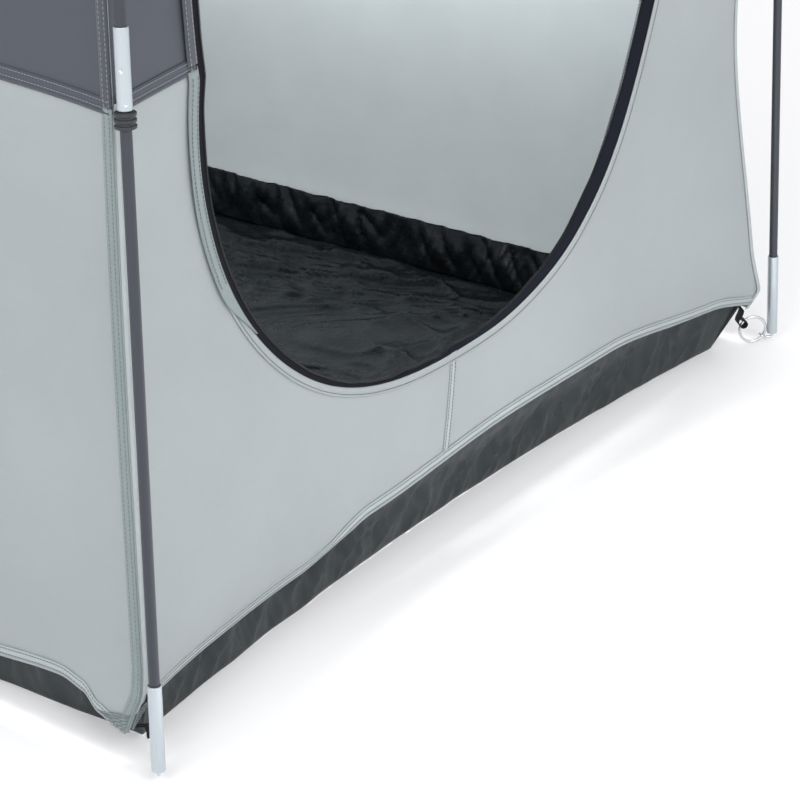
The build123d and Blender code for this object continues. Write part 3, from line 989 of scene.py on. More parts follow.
band("front_middle_seam", front, [seam_at(z, -4.5 * MM) for z in seam_heights],
     [seam_at(z, 4.5 * MM) for z in seam_heights], 0.8 * MM, light_hem, bulge=0.4 * MM)
stitches("front_middle_seam_stitches", front,
         [[seam_at(z, o * MM) for z in seam_heights] for o in (-2.8, 2.8)],
         1.6 * MM, seam_thread)


def corner_tape(name, side, sign, low, high, material, slot):
    """The folded seam tape up a wall's corner edge."""
    heights = spread(low, high, int((high - low) / (4 * MM)))
    edge = [(sign * (corner_half(z) - 0.4 * MM), z) for z in heights]
    inside = [(sign * (corner_half(z) - 11 * MM), z) for z in heights]
    band(name, side, edge, inside, 1.1 * MM, material, thickness=0.9 * MM, bulge=0.7 * MM)
    rows = [[(sign * (corner_half(z) - o * MM), z) for z in heights] for o in (3.0, 8.2)]
    stitches(name + "_stitches", side, rows, 2.0 * MM,
             seam_thread if slot == "light_fabric" else dark_thread, pitch=4 * MM)


for key, sign in (("left", 1), ("right", -1), ("right", 1), ("left", -1)):
    end = "front" if (key == "left") == (sign > 0) else "rear"
    side = SIDES[key]
    corner_tape(f"{key}_{end}_corner_seam_light", side, sign, tip(side, sign)[1] + 4 * MM, SPLIT - 2 * MM,
                seam_cloth, "light_fabric")
    corner_tape(f"{key}_{end}_corner_seam_dark", side, sign, SPLIT - 4 * MM, EAVE, dark_hem, "dark_fabric")


def corner_fold(side, sign, name):
    """A narrow lip of light cloth turned back along the front edge of the corner."""
    heights = spread(0.05, SPLIT, 130)
    a = [(sign * (corner_half(z) - 0.3 * MM), z) for z in heights]
    b = [(sign * (corner_half(z) - 5 * MM), z) for z in heights]
    band(name, side, a, b, 0.9 * MM, light_hem, thickness=0.8 * MM, bulge=0.5 * MM)


corner_fold(front, -1, "front_left_corner_lip")
corner_fold(front, 1, "front_right_corner_lip")


def corner_patch(name, side, sign):
    """The doubled triangle at the hem's corner tip, sewn criss-cross."""
    x0, z0 = tip(side, sign)
    end = abs(x0)
    top, low = [], []
    for z, x in zip(spread(z0 + 3 * MM, z0 + 27 * MM, 12), spread(end - 2.5 * MM, end - 30 * MM, 12)):
        top.append((sign * (corner_half(z) - 2 * MM), z))
        low.append((sign * x, side.hem_z(sign * x) + 2 * MM))
    band(name, side, top, low, 2.1 * MM, seam_cloth, thickness=0.7 * MM)
    rows = []
    for k in range(5):
        a, b = Vector(top[2 + 2 * k]), Vector(low[min(12, 4 + 2 * k)])
        rows.append([tuple(a.lerp(b, i / 8)) for i in range(9)])
        c, d = Vector(top[min(12, 5 + 2 * k)]), Vector(low[1 + 2 * k])
        rows.append([tuple(c.lerp(d, i / 8)) for i in range(9)])
    stitches(name + "_stitches", side, rows, 2.7 * MM, seam_thread, pitch=2.8 * MM,
             length=2.0 * MM)


for key, side in SIDES.items():
    if key != "right":
        corner_patch(f"{key}_hem_tip_low_x", side, -1)
    if key != "front":
        corner_patch(f"{key}_hem_tip_high_x", side, 1)


# ---------------------------------------------------------------- the door
def door_rim(top, count):
    """The opening's outline from the top of the left zip, down, round and up the right one."""
    ring = door_path()
    low = ring[:DOOR_STEPS + 1]
    left = [Vector((low[0].x, z)) for z in spread(top, low[0].y, 60)]
    right = [Vector((low[-1].x, z)) for z in spread(low[-1].y, top, 60)]
    return even(left[:-1] + low + right[1:], count)


TAPE_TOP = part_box("door_zip_tape")[1].z
rim = door_rim(TAPE_TOP, 620)
rim_lengths = distances(rim)
RIM_LENGTH = rim_lengths[-1]


def zip_place(i, depth, inward):
    """A point beside place i of the rim: so deep behind the wall, and so far into the opening."""
    a, b = rim[max(0, i - 1)], rim[min(len(rim) - 1, i + 1)]
    along = (b - a).normalized()
    q = rim[i] + Vector((-along.y, along.x)) * inward
    return front.cloth(q.x, q.y, -depth)


def zip_lean(share):
    """How far the tape leans into the opening, in radians: most low on the left, none near the sliders."""
    return 1.38 * smooth((share - 0.10) / 0.08) * smooth((0.54 - share) / 0.10) + 0.04


def zip_reach(share):
    """How much of the tape stands clear of the wall's edge: least along the bottom."""
    return (ZIP_WIDTH - ZIP_HELD) * (1 - 0.70 * math.exp(-((share - 0.47) / 0.10) ** 2))


def zip_sway(at):
    """How far the tape's free edge wanders: a little all along, and more along the bottom."""
    low = math.exp(-((at - RIM_LENGTH / 2) / 0.18) ** 2)
    small = noise.noise(Vector((at * 22, 4, 1))) * 1.2 * MM
    return small + noise.noise(Vector((at * 34, 8, 1))) * 3.0 * MM * low


def zip_tape():
    """The zip's tape, sewn behind the opening's edge and leaning in low on the left."""
    count = len(rim) - 1

    def place(u, v):
        i = round(u * count)
        at = rim_lengths[i]
        lean, reach = zip_lean(at / RIM_LENGTH), zip_reach(at / RIM_LENGTH)
        depth = lerp(-0.8 * MM, reach * math.cos(lean), v)
        return zip_place(i, depth, 0.9 * MM + (reach * math.sin(lean) + zip_sway(at)) * v)

    return sheet_mesh(count, 8, place, lambda u, v: (rim_lengths[round(u * count)], ZIP_WIDTH * v))


tape = piece("door_zip_tape_cloth", zip_tape(), zip_finish, thickness=0.8 * MM)
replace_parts(tape, "door_zip_tape")


def zip_coil():
    """The coil of teeth along the tape's free edge."""
    bm = bmesh.new()
    count = int(RIM_LENGTH / (1.5 * MM))
    marks = even(rim, count)
    tooth = Matrix.Diagonal((0.85 * MM, 3.2 * MM, 1.9 * MM, 1))
    for i in range(count):
        along = (marks[i + 1] - marks[i]).normalized()
        into = Vector((-along.y, along.x))
        share = i / count
        lean, reach = zip_lean(share), zip_reach(share)
        q = marks[i] + into * (0.9 * MM + zip_sway(share * RIM_LENGTH) + reach * math.sin(lean))
        p = front.cloth(q.x, q.y, -(reach + 0.6 * MM) * math.cos(lean))
        turn = Matrix.Rotation(math.atan2(along.y, along.x), 4, Vector((0, -1, 0)))
        bmesh.ops.create_cube(bm, size=1, matrix=Matrix.Translation(p) @ turn @ tooth)
    return bm


piece("door_zip_coil", zip_coil(), coil_finish)


def door_binding():
    """The wall cloth's turned edge round the opening."""
    count = len(rim) - 1

    def place(u, v):
        i = round(u * count)
        return zip_place(i, -1.3 * MM - 0.5 * MM * math.sin(math.pi * v), lerp(0.3 * MM, -8.5 * MM, v))

    return sheet_mesh(count, 5, place, lambda u, v: (u * RIM_LENGTH, v * 0.009))


def split_by_height(name, bm, thickness):
    """Cuts a round-the-door strip at the colour split, so each half has its own cloth."""
    upper_half = bm.copy()
    for part, keep_low in ((bm, True), (upper_half, False)):
        gone = [f for f in part.faces if (f.calc_center_median().z < SPLIT) != keep_low]
        bmesh.ops.delete(part, geom=gone, context="FACES")
    piece(name + "_light", bm, light_cloth, thickness=thickness)
    piece(name + "_dark", upper_half, dark_cloth, thickness=thickness)


split_by_height("door_edge", door_binding(), 0.7 * MM)


def rim_stitches(inward, low):
    """The stitch row round the opening, below or above the colour split."""
    bm = bmesh.new()
    path = [zip_place(i, -2.5 * MM, inward) for i in range(len(rim))]
    runs, run = [], []
    for p in path:
        if (p.z < SPLIT) == low:
            run.append(p)
        elif run:
            runs.append(run)
            run = []
    if run:
        runs.append(run)
    for r in runs:
        if len(r) > 2:
            stitch_row(bm, r, lambda t: Vector((0, -1, 0)), 3.4 * MM, 2.4 * MM)
    return bm


piece("door_edge_stitches_light", rim_stitches(-6.0 * MM, True), seam_thread)
piece("door_edge_stitches_dark", rim_stitches(-6.0 * MM, False), dark_thread)


# the storm flap along the left zip
FLAP_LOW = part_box("door_storm_flap")[0].z
FLAP_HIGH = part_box("door_storm_flap")[1].z


def storm_flap(low):
    """A strip over the left zip, tapering to nothing at its lower end."""
    run = [i for i in range(len(rim)) if rim[i].x < DOOR_X - 0.2 and FLAP_LOW - 0.012 < rim[i].y < FLAP_HIGH
           and (rim[i].y < SPLIT + 0.004) == low]
    count = len(run) - 1

    def place(u, v):
        i = run[round(u * count)]
        wide = 12 * MM * smooth((rim[i].y - FLAP_LOW + 0.012) / 0.06) + 0.6 * MM
        wave = noise.noise(Vector((rim[i].y * 15, 3, 3))) * 1.0 * MM
        return zip_place(i, -3.0 * MM - wave * v - 1.1 * MM * math.sin(math.pi * v), 1.4 * MM - wide * v)

    return sheet_mesh(count, 6, place, lambda u, v: (rim[run[round(u * count)]].y, v * 0.013))


flap = piece("storm_flap_light", storm_flap(True), seam_cloth, thickness=0.7 * MM)
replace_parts(flap, "door_storm_flap")
piece("storm_flap_dark", storm_flap(False), dark_hem, thickness=0.7 * MM)


def flap_stitches(low):
    """Two rows of stitches that hold the storm flap."""
    bm = bmesh.new()
    for inward in (-1.6 * MM, -8.6 * MM):
        run = [zip_place(i, -4.9 * MM, inward) for i in range(len(rim)) if rim[i].x < DOOR_X - 0.2
               and FLAP_LOW + 0.05 < rim[i].y < FLAP_HIGH - 0.01 and (rim[i].y < SPLIT) == low]
        stitch_row(bm, run, lambda t: Vector((0, -1, 0)), 4.2 * MM, 2.8 * MM)
    return bm


piece("storm_flap_stitches_light", flap_stitches(True), seam_thread)
piece("storm_flap_stitches_dark", flap_stitches(False), dark_thread)


# the panel that fills the opening above the roll
def top_panel():
    """The cloth that fills the opening's rounded top."""
    def edge(z):
        if z < DOOR_TOP - DOOR_TOP_BOW:
            return DOOR_HALF
        t = min(1, (z - (DOOR_TOP - DOOR_TOP_BOW)) / DOOR_TOP_BOW)
        return DOOR_HALF * max(0.0, 1 - t ** DOOR_POWER) ** (1 / DOOR_POWER)

    def flat(u, v):
        z = lerp(TAPE_TOP - 4 * MM, DOOR_TOP, math.sin(math.pi / 2 * v))
        return DOOR_X + lerp(-1, 1, u) * (edge(z) + 2 * MM), z

    return sheet_mesh(90, 40, lambda u, v: front.cloth(*flat(u, v), -0.6 * MM), flat)


made = piece("door_top_cloth", top_panel(), dark_cloth, thickness=CLOTH)
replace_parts(made, "door_top_panel")


# the rolled door
roll_low, roll_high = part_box("door_roll")
ROLL_Y = (roll_low.y + roll_high.y) / 2
ROLL_R = (roll_high.z - roll_low.z) / 2
ROLL_HALF = (roll_high.x - roll_low.x) / 2
ROLL_TURNS = 9.5
ROLL_SLACK = 2.2 * MM
TIE_HALF = 9.5 * MM
TIE_THICK = 1.2 * MM


def roll_radius(turn, x):
    """Spiral radius after so many turns, pulled in a little where the ties go."""
    r = lerp(6 * MM, ROLL_R - ROLL_SLACK, turn / ROLL_TURNS)
    for tie in (-ROLL_HALF / 2, ROLL_HALF / 2):
        r *= 1 - 0.10 * math.exp(-((x - tie) / (22 * MM)) ** 2)
    return r


def rolled_door():
    """The door wound up as one sheet, and the length that is wound."""
    wound = 0.0
    steps = 760
    marks = [0.0]
    for i in range(steps):
        wound += 2 * math.pi * ROLL_TURNS / steps * roll_radius(ROLL_TURNS * i / steps, 0.15)
        marks.append(wound)

    def place(u, v):
        turn = ROLL_TURNS * v
        x = lerp(-1, 1, u) * (ROLL_HALF - 4 * MM * abs(math.sin(turn * 1.7)))
        r = roll_radius(turn, x)
        angle = 2 * math.pi * turn - math.pi / 2
        lump = noise.noise(Vector((x * 9, math.cos(angle) * 1.2, math.sin(angle) * 1.2)))
        r += lump * 1.3 * MM * (turn / ROLL_TURNS)
        sag = -3.0 * MM * (1 - (x / ROLL_HALF) ** 2)
        return Vector((DOOR_X + x, ROLL_Y + r * math.cos(angle), ROLL_Z + sag + r * math.sin(angle)))

    return sheet_mesh(64, steps, place, lambda u, v: (u * 2 * ROLL_HALF, marks[round(v * steps)])), wound


roll_mesh, roll_wound = rolled_door()
roll = piece("rolled_door", roll_mesh, dark_cloth, thickness=CLOTH)
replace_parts(roll, "door_roll")


def roll_ties():
    """Two bands round the roll, each with the two layers of its fastening tab."""
    bm = bmesh.new()
    inside = (ROLL_R - ROLL_SLACK) * 0.9 + 1.4 * MM
    outside = inside + TIE_THICK
    section = ((-TIE_HALF, inside), (-TIE_HALF, outside), (TIE_HALF, outside), (TIE_HALF, inside))
    for tie in (-ROLL_HALF / 2, ROLL_HALF / 2):
        middle = Vector((DOOR_X + tie, ROLL_Y, ROLL_Z - ROLL_SLACK))
        rings = [[bm.verts.new(middle + Vector((w, r * math.cos(a), r * math.sin(a)))) for w, r in section]
                 for a in around(64)]
        for a, b in zip(rings, rings[1:] + rings[:1]):
            bridge(bm, a, b)
        for k in range(2):
            place = Vector((DOOR_X + tie, ROLL_Y - (ROLL_R - 3 * MM) * math.sin(0.9),
                            ROLL_Z + ROLL_R - 6 * MM - k * 3 * MM))
            box_on(bm, Matrix.Translation(place) @ Matrix.Rotation(0.9, 4, "X"), (19 * MM, 13 * MM, 1.3 * MM))
    bmesh.ops.recalc_face_normals(bm, faces=bm.faces)
    return bm


made = piece("roll_ties", roll_ties(), webbing_finish, smooth_faces=False, bevel=0.4 * MM)
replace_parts(made, "door_roll_ties")


# ---------------------------------------------------------------- poles and their fittings
def polar(radius, angle):
    return Vector((radius * math.cos(angle), radius * math.sin(angle), 0))


def pole_skin(bm, pole, stations, radius, rounds=32, bore=None):
    """A round surface along a pole, radius(s, angle); closed with flat rims, or ends when solid."""
    layer = bm.loops.layers.uv.verify()
    rings = []
    for s in stations:
        m = pole.place(s)
        rings.append([bm.verts.new(m @ polar(radius(s, a), a)) for a in around(rounds)])
    if bore:
        back = list(reversed(stations[1:-1]))[::4]
        for s in (stations[-1], *back, stations[0]):
            m = pole.place(s)
            rings.append([bm.verts.new(m @ polar(bore, a)) for a in around(rounds)])
        rings.append(rings[0])
    marks = list(stations) + [stations[-1]] * (len(rings) - len(stations))
    for i in range(len(rings) - 1):
        low, high = rings[i], rings[i + 1]
        for k in range(rounds):
            n = (k + 1) % rounds
            f = bm.faces.new((low[k], low[n], high[n], high[k]))
            spots = ((k, marks[i]), (k + 1, marks[i]), (k + 1, marks[i + 1]), (k, marks[i + 1]))
            for loop, (t, s) in zip(f.loops, spots):
                loop[layer].uv = (t / rounds * 0.03, s)
    if not bore:
        bm.faces.new(list(reversed(rings[0])))
        bm.faces.new(rings[-1])


def stations(low, high, step):
    return spread(low, high, max(1, int(round((high - low) / step))))


def tube_finish(name, colour, rough, metal, streak_depth, tone):
    """A drawn or pultruded surface: fine streaks that run along the pole."""
    p = Paint(name)
    uv = p.coords("UV")
    streak = p.noise(p.stretch(uv, (2400, 9, 1)), 1.0, 4, 0.65)
    wide = p.noise(p.stretch(uv, (500, 4, 1)), 1.0, 3, 0.5)
    tone_value = p.maths("ADD", p.maths("MULTIPLY", streak, 0.6), p.maths("MULTIPLY", wide, 0.4))
    p.link(p.ramp(tone_value, ((0.3, shade(colour, 1 - tone)), (0.7, shade(colour, 1 + tone)))),
           p.shader.inputs["Base Color"])
    p.link(p.level(streak, rough - 0.05, rough + 0.07, 0.3, 0.7), p.shader.inputs["Roughness"])
    p.set(Metallic=metal)
    p.link(p.bump(streak, streak_depth, 0.5), p.shader.inputs["Normal"])
    return p.material


rod_surface = tube_finish("fibreglass", srgb(47, 51, 59), 0.42, 0.0, 0.00018, 0.22)
tube_surface = tube_finish("plated_tube", srgb(187, 195, 200), 0.30, 0.8, 0.00003, 0.03)


def rod_ends(pole):
    """Stations where one rod ends and the next begins."""
    top = FOOT_GAP + END_TUBE[pole.key]
    return [top - 12 * MM, *pole.joints, 2 * pole.half - top + 12 * MM]


def rounded_tube(s, low, high, radius, soft=0.9 * MM):
    """Tube radius with both rims rounded over."""
    edge = min(s - low, high - s)
    if edge < soft:
        return radius - soft * 0.7 + 0.7 * math.sqrt(max(0, soft ** 2 - (soft - edge) ** 2))
    return radius


def close_stations(low, high, extra=()):
    """Stations that crowd at both rims and wherever else is asked."""
    near = [x * MM for x in (0, 0.08, 0.2, 0.4, 0.65, 0.9)]
    rims = [low + x for x in near] + [high - x for x in reversed(near)]
    body = stations(low + 2 * MM, high - 2 * MM, 7 * MM)
    dense = [s for a, b in extra for s in stations(a, b, 0.35 * MM)]
    return sorted(set(round(s, 6) for s in rims + body + dense if low <= s <= high))


def ferrule_radius(low, high, far):
    """A ferrule: plain tube, a small diamond dent at its middle and a crimp near its lower end."""
    middle = (low + high) / 2
    crimp = (high - 5.5 * MM) if far else (low + 5.5 * MM)

    def radius(s, a):
        r = rounded_tube(s, low, high, FERRULE_R)
        turn = math.atan2(math.sin(a + 0.30), math.cos(a + 0.30))
        dent = 1 - abs(s - middle) / (2.9 * MM) - abs(turn) * FERRULE_R / (2.3 * MM)
        r -= 1.0 * MM * smooth(dent * 1.6) if dent > 0 else 0
        press = 1 - abs(s - crimp) / (1.5 * MM) - abs(turn - 0.4) * FERRULE_R / (2.6 * MM)
        return r - (0.5 * MM * smooth(press * 2.0) if press > 0 else 0)

    return radius


for key, pole in POLES.items():
    ends = rod_ends(pole)
    for i, (low, high) in enumerate(zip(ends, ends[1:]), 1):
        bm = bmesh.new()
        marks = stations(low + 0.2 * MM, high - 0.2 * MM, 14 * MM)
        pole_skin(bm, pole, marks, lambda s, a: ROD_R, 28, ROD_BORE)
        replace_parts(piece(f"pole_{key}_rod_skin_{i}", bm, rod_surface), f"pole_{key}_rod_{i}")
    bm = bmesh.new()
    for s in pole.joints:
        low, high = s - FERRULE_LENGTH / 2, s + FERRULE_LENGTH / 2
        marks = close_stations(low, high, ((s - 3 * MM, s + 3 * MM), (low + 3.5 * MM, low + 7.5 * MM)))
        pole_skin(bm, pole, marks, ferrule_radius(low, high, False), 56, ROD_R + 0.08 * MM)
    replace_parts(piece(f"pole_{key}_ferrule_tubes", bm, tube_surface), f"pole_{key}_ferrules")
    bm = bmesh.new()
    tube = END_TUBE[key]
    for low in (FOOT_GAP, 2 * pole.half - FOOT_GAP - tube):
        high = low + tube
        marks = close_stations(low, high)
        pole_skin(bm, pole, marks, lambda s, a: rounded_tube(s, low, high, FERRULE_R), 48, ROD_R + 0.12 * MM)
    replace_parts(piece(f"pole_{key}_foot_tubes", bm, tube_surface), f"pole_{key}_end_tubes")
    cord_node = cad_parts[f"pole_{key}_shock_cord"]
    cord_node.data.materials.clear()
    cord_node.data.materials.append(cord_finish)


def rim_bead(bm, pole, s):
    """The thin dark seal where a rod enters its end tube."""
    def radius(t, a):
        return ROD_R + 0.10 * MM + 0.55 * MM * math.sin(math.pi * min(1, max(0, (t - s) / MM)))

    pole_skin(bm, pole, spread(s, s + 1 * MM, 4), radius, 40)


bm = bmesh.new()
for key, pole in POLES.items():
    top = FOOT_GAP + END_TUBE[key]
    rim_bead(bm, pole, top)
    rim_bead(bm, pole, 2 * pole.half - top - 1 * MM)
piece("foot_tube_seals", bm, plastic_finish)


def foot_station(pole, far, s):
    """Station at the same height on the pole's near or far leg."""
    return 2 * pole.half - s if far else s


def inward_sign(pole, s):
    """Whether the tab towards the tent runs along +X or -X of the pole's own frame."""
    m = pole.place(s)
    x = m.to_3x3() @ Vector((1, 0, 0))
    centre = Vector((0, 0, 1.0 if pole.point(s).z > 1.2 else pole.point(s).z))
    return -1 if x.dot(pole.point(s) - centre) > 0 else 1


COLLAR_AT = 580 * MM
TAB = (13 * MM, 9 * MM)


def collars():
    """Ribbed rings clamped on the poles, and their tabs sewn to the corners."""
    rings, tabs = bmesh.new(), bmesh.new()
    for pole in POLES.values():
        for far in (False, True):
            s = foot_station(pole, far, COLLAR_AT)

            def radius(t, a):
                rib = abs(math.cos(math.pi * (t - s) / (5 * MM)))
                return 7.4 * MM + 1.5 * MM * smooth((rib - 0.35) / 0.5)

            marks = stations(s - 6.9 * MM, s + 6.9 * MM, 0.23 * MM)
            pole_skin(rings, pole, marks, radius, 48, ROD_R + 0.05 * MM)
            sign = inward_sign(pole, s)
            box_on(tabs, pole.place(s) @ Matrix.Translation((sign * 13.7 * MM, 0, 0)), (*TAB, 2.2 * MM))
    return rings, tabs


rings, tabs = collars()
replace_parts(piece("pole_collar_rings", rings, plastic_finish), "pole_collars")
piece("pole_collar_tabs", tabs, webbing_finish, smooth_faces=False, bevel=0.5 * MM)


CLIP_IN = 4.85 * MM
CLIP_OUT = 7.6 * MM
CLIP_MOUTH = math.radians(42)


def snap_clips():
    """Split rings that snap over the poles, with a tab sewn to the tent's corner."""
    bm = bmesh.new()
    for pole in POLES.values():
        for far in (False, True):
            places = [z / math.cos(LEAN) for z in CLIPS[1:]]
            places += [pole.straight + (pole.half - pole.straight) * share for share in (0.3, 0.75)]
            for place in places:
                s = foot_station(pole, far, place)
                sign = inward_sign(pole, s)
                low, high = pole.place(s - 6 * MM), pole.place(s + 6 * MM)
                section = ((low, CLIP_IN), (low, CLIP_OUT), (high, CLIP_OUT), (high, CLIP_IN))
                middle = 0 if sign < 0 else math.pi
                loops = [[bm.verts.new(m @ polar(r, a)) for m, r in section]
                         for a in spread(middle + CLIP_MOUTH, middle + 2 * math.pi - CLIP_MOUTH, 40)]
                for a, b in zip(loops, loops[1:]):
                    bridge(bm, a, b)
                bm.faces.new(loops[0])
                bm.faces.new(list(reversed(loops[-1])))
                box_on(bm, pole.place(s) @ Matrix.Translation((sign * 13.8 * MM, 0, 0)), (*TAB, 3 * MM))
    bmesh.ops.recalc_face_normals(bm, faces=bm.faces)
    return bm


made = piece("pole_snap_clips", snap_clips(), plastic_finish, smooth_faces=False,
             bevel=0.5 * MM)
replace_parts(made, "pole_clips")


# ---------------------------------------------------------------- corner rings, pins and webbing
def torus(bm, matrix, big, small, steps=72, rounds=20):
    """A round ring of round wire."""
    rings = []
    for a in around(steps):
        ring = [(big + small * math.cos(b), small * math.sin(b)) for b in around(rounds)]
        rings.append([bm.verts.new(matrix @ (polar(r, a) + Vector((0, 0, z)))) for r, z in ring])
    for a, b in zip(rings, rings[1:] + rings[:1]):
        bridge(bm, a, b)


def wire_along(bm, points, radius, rounds=16):
    """A bent wire with rounded-off ends."""
    made = []
    up = Vector((0, 0, 1))
    for i, p in enumerate(points):
        along = (points[min(i + 1, len(points) - 1)] - points[max(i - 1, 0)]).normalized()
        side = along.cross(up)
        side = side.normalized() if side.length > 0.05 else along.cross(Vector((1, 0, 0))).normalized()
        top = side.cross(along)
        if made and side.dot(made[-1][1]) < 0:
            side, top = -side, -top
        made.append((p, side, top, along))
    rings = []
    first, last = made[0], made[-1]
    spots = [(first[0] - first[3] * radius * 0.6, first, 0.6)] + [(m[0], m, 1.0) for m in made]
    spots += [(last[0] + last[3] * radius * 0.6, last, 0.6)]
    for p, m, share in spots:
        rings.append([bm.verts.new(p + (m[1] * math.cos(a) + m[2] * math.sin(a)) * radius * share)
                      for a in around(rounds)])
    for a, b in zip(rings, rings[1:]):
        bridge(bm, b, a)
    bm.faces.new(list(reversed(rings[0])))
    bm.faces.new(rings[-1])
    bmesh.ops.recalc_face_normals(bm, faces=bm.faces)


def rounded_path(points, radius, steps=10):
    """A line through points with its inner corners rounded."""
    result = [points[0]]
    for a, b, c in zip(points, points[1:], points[2:]):
        start, stop = b + (a - b).normalized() * radius, b + (c - b).normalized() * radius
        for i in range(steps + 1):
            t = i / steps
            result.append(start.lerp(b, t).lerp(b.lerp(stop, t), t))
    result.append(points[-1])
    return result


# each corner's pole, and whether it is the pole's far end
CORNERS = {
    "front_left": ("a", False),
    "front_right": ("b", False),
    "rear_right": ("a", True),
    "rear_left": ("b", True),
}
RING_R = 15.5 * MM
RING_WIRE = 1.75 * MM
RING_SLOPE = math.radians(-35)
EYE_R = 4.2 * MM
EYE_WIRE = 1.4 * MM
PIN_WIRE = 1.5 * MM
PIN_REACH = 24.5 * MM
PIN_TOP = 62 * MM
# how far each strap's sewn end is drawn aside by its corner of the tent: outwards, up, sideways
STRAP_ENDS = {
    "front_left": Vector((0, -12 * MM, 16 * MM)),
    "front_right": Vector((11 * MM, 10 * MM, 6 * MM)),
    "rear_right": Vector((0, -6 * MM, 7.5 * MM)),
    "rear_left": Vector((0, -6 * MM, 7.5 * MM)),
}


def ring_place(name):
    """Matrix at a corner ring's centre: X out along the diagonal, Y up."""
    key, far = CORNERS[name]
    turn = POLES[key].angle + (math.pi if far else 0)
    radial = Vector((math.cos(turn), math.sin(turn), 0))
    low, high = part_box(f"corner_ring_{name}")
    up = Vector((0, 0, 1))
    return Matrix.Translation((low + high) / 2) @ Matrix((radial, up, radial.cross(up))).transposed().to_4x4()


def corner_pin(at, height):
    """The bent wire from the ring up into the end tube, with its eye round the ring."""
    bm = bmesh.new()
    eye = polar(RING_R, RING_SLOPE)
    arm_low = Vector((eye.x + 3.8 * MM, eye.y - 2 * MM, 0))
    bend = Vector((PIN_REACH - 0.2 * MM, 7.2 * MM - height, 0))
    top = Vector((PIN_REACH - 57 * MM * math.tan(LEAN), PIN_TOP - height, 0))
    wire_along(bm, [at @ p for p in rounded_path([arm_low, bend, top], 3.2 * MM)], PIN_WIRE)
    eye_z = polar(1, RING_SLOPE + math.pi / 2)
    eye_x = polar(1, RING_SLOPE)
    turn = Matrix((eye_x, eye_z.cross(eye_x), eye_z)).transposed().to_4x4()
    torus(bm, at @ Matrix.Translation(eye) @ turn, EYE_R, EYE_WIRE, 48, 16)
    return bm


def corner_strap(webbing, web_stitch, at, drawn_aside):
    """Black webbing: once round the ring, doubled back to the corner of the tent, and sewn."""
    away = RING_SLOPE + math.pi
    hold, out = polar(RING_R, away), polar(1, away)
    across = Vector((-out.y, out.x, 0))

    def strap_point(t, sign):
        """A point of the doubled strap, t millimetres out from the ring, and its width."""
        apart = sign * lerp(0.8 * MM, 3.0 * MM, smooth((18 - t) / 14))
        drawn = drawn_aside * smooth((t - 5.5) / 14)
        return hold + out * t * MM + across * apart + drawn, lerp(15, 13, smooth((18 - t) / 12))

    run = (19.5, 17.8, 14, 10, 7)
    path = [strap_point(t, 1) for t in run]
    for a in spread(math.radians(60), math.radians(300), 12):
        path.append((hold + (out * math.cos(a) + across * math.sin(a)) * 4.3 * MM, 12.5))
    path += [strap_point(t, -1) for t in reversed(run)]
    section = ((-1, -1), (1, -1), (1, -0.33), (1, 0.33), (1, 1), (-1, 1), (-1, 0.33), (-1, -0.33))
    rows = []
    for i, (p, wide) in enumerate(path):
        ahead = path[min(i + 1, len(path) - 1)][0] - path[max(i - 1, 0)][0]
        normal = Vector((-ahead.y, ahead.x, 0)).normalized()
        edges = [p + normal * n * 0.65 * MM + Vector((0, 0, w * wide / 2 * MM)) for n, w in section]
        rows.append([webbing.verts.new(at @ edge) for edge in edges])
    for a, b in zip(rows, rows[1:]):
        bridge(webbing, a, b)
    webbing.faces.new(rows[0])
    webbing.faces.new(list(reversed(rows[-1])))
    for w in (-5, 0, 5):
        line = [at @ (strap_point(t, 1)[0] + across * 0.9 * MM + Vector((0, 0, w * MM)))
                for t in (10.5, 12.5, 14.5, 16.5)]
        stitch_row(web_stitch, line, lambda t: at.to_3x3() @ across, 2.6 * MM, 1.9 * MM)


webbing, web_stitch = bmesh.new(), bmesh.new()
for name in CORNERS:
    at = ring_place(name)
    bm = bmesh.new()
    torus(bm, at, RING_R, RING_WIRE)
    made = piece(f"ring_{name}_wire", bm, wire_finish, body=f"ring_{name}")
    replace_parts(made, f"corner_ring_{name}")
    made = piece(f"pin_{name}_wire", corner_pin(at, at.translation.z), wire_finish)
    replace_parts(made, f"corner_pin_{name}")
    corner_strap(webbing, web_stitch, at, STRAP_ENDS[name])
bmesh.ops.recalc_face_normals(webbing, faces=webbing.faces)
made = piece("corner_webbing_loops", webbing, webbing_finish, bevel=0.3 * MM)
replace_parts(made, "corner_webbing")
piece("corner_webbing_stitches", web_stitch, light_thread)


# ---------------------------------------------------------------- crown, hanging ring, sliders
def dress(node, material, bevel=0.0):
    """Gives a piece of the frame its finish as it stands."""
    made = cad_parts[node]
    made.data.materials.clear()
    made.data.materials.append(material)
    if bevel:
        edge = made.modifiers.new("edges", "BEVEL")
        edge.width = bevel
        edge.segments = 2
        edge.limit_method = "ANGLE"


dress("crown_strap", webbing_finish, 0.5 * MM)
dress("hanging_loop", webbing_finish, 0.4 * MM)
low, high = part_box("hanging_ring")
bm = bmesh.new()
torus(bm, Matrix.Translation((low + high) / 2) @ Matrix.Rotation(math.pi / 2, 4, "X"), 17 * MM, 2.2 * MM)
made = piece("hanging_ring_wire", bm, wire_finish, body="hook_ring")
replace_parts(made, "hanging_ring")
for key in ("left", "right"):
    dress(f"zip_slider_{key}", slider_finish)
    dress(f"zip_pull_{key}", slider_finish)


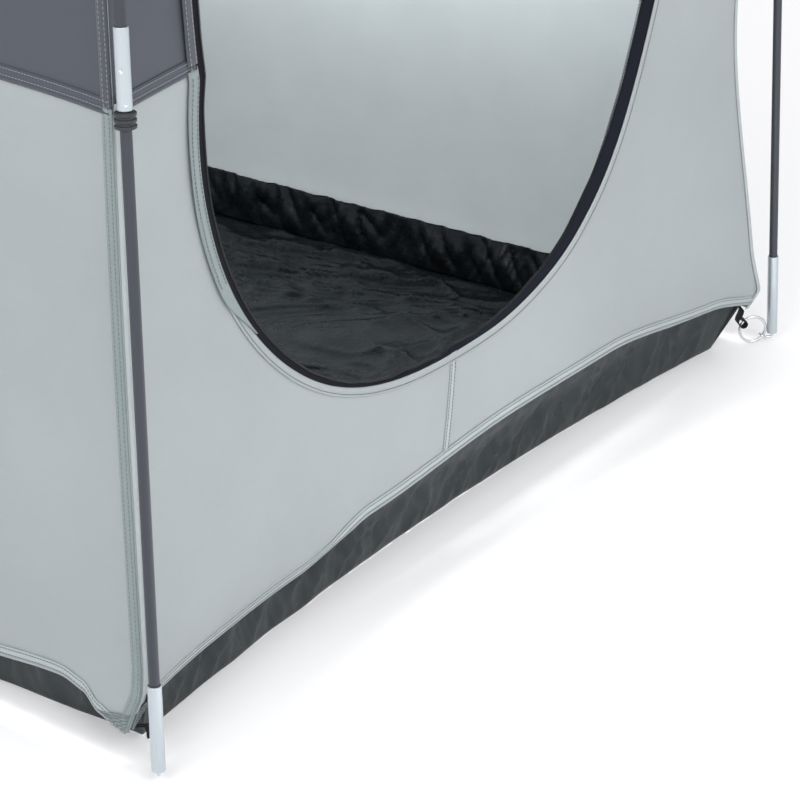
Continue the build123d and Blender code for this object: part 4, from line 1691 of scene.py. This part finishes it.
# ---------------------------------------------------------------- ground, camera and light
def ground():
    """A plain pale floor."""
    bm = bmesh.new()
    bmesh.ops.create_grid(bm, x_segments=2, y_segments=2, size=9)
    p = Paint("pale_ground")
    p.set(Base_Color=(0.90, 0.90, 0.915, 1), Roughness=0.9)
    p.set(Emission_Color=(1, 1, 1, 1), Emission_Strength=0.08)
    mesh = bpy.data.meshes.new("ground")
    bm.to_mesh(mesh)
    bm.free()
    made = bpy.data.objects.new("ground", mesh)
    mesh.materials.append(p.material)
    bpy.context.scene.collection.objects.link(made)


ground()

camera = bpy.data.objects.new("camera", bpy.data.cameras.new("camera"))
bpy.context.scene.collection.objects.link(camera)
camera.location = (-1.92364, -1.78366, 1.2127)
yaw, pitch = math.radians(54.71), math.radians(25.15)
view = Vector((math.sin(yaw) * math.cos(pitch), math.cos(yaw) * math.cos(pitch), -math.sin(pitch)))
camera.rotation_euler = view.to_track_quat("-Z", "Y").to_euler()
camera.data.lens = 115.36
camera.data.sensor_width = 36
camera.data.clip_end = 60
bpy.context.scene.camera = camera


def softbox(name, place, target, size, power, seen=True):
    light = bpy.data.lights.new(name, "AREA")
    light.shape = "RECTANGLE"
    light.size, light.size_y = size
    light.energy = power
    made = bpy.data.objects.new(name, light)
    bpy.context.scene.collection.objects.link(made)
    made.location = place
    made.rotation_euler = (Vector(target) - Vector(place)).to_track_quat("-Z", "Y").to_euler()
    made.visible_camera = seen
    made.visible_glossy = seen


world = bpy.data.worlds.new("studio")
bpy.context.scene.world = world
world.use_nodes = True
world.node_tree.nodes["Background"].inputs["Color"].default_value = (1, 1, 1, 1)
world.node_tree.nodes["Background"].inputs["Strength"].default_value = 0.95
softbox("front_softbox", (-1.6, -3.6, 3.0), (0, 0, 0.4), (2.6, 2.0), 60)
softbox("left_softbox", (-3.6, -0.9, 2.4), (0, 0, 0.5), (2.2, 2.0), 45)
softbox("inside_light", (0, 0, 1.15), (0.12, 0.08, 0), (0.50, 0.50), 34, seen=False)
bpy.context.scene.view_settings.view_transform = "Standard"
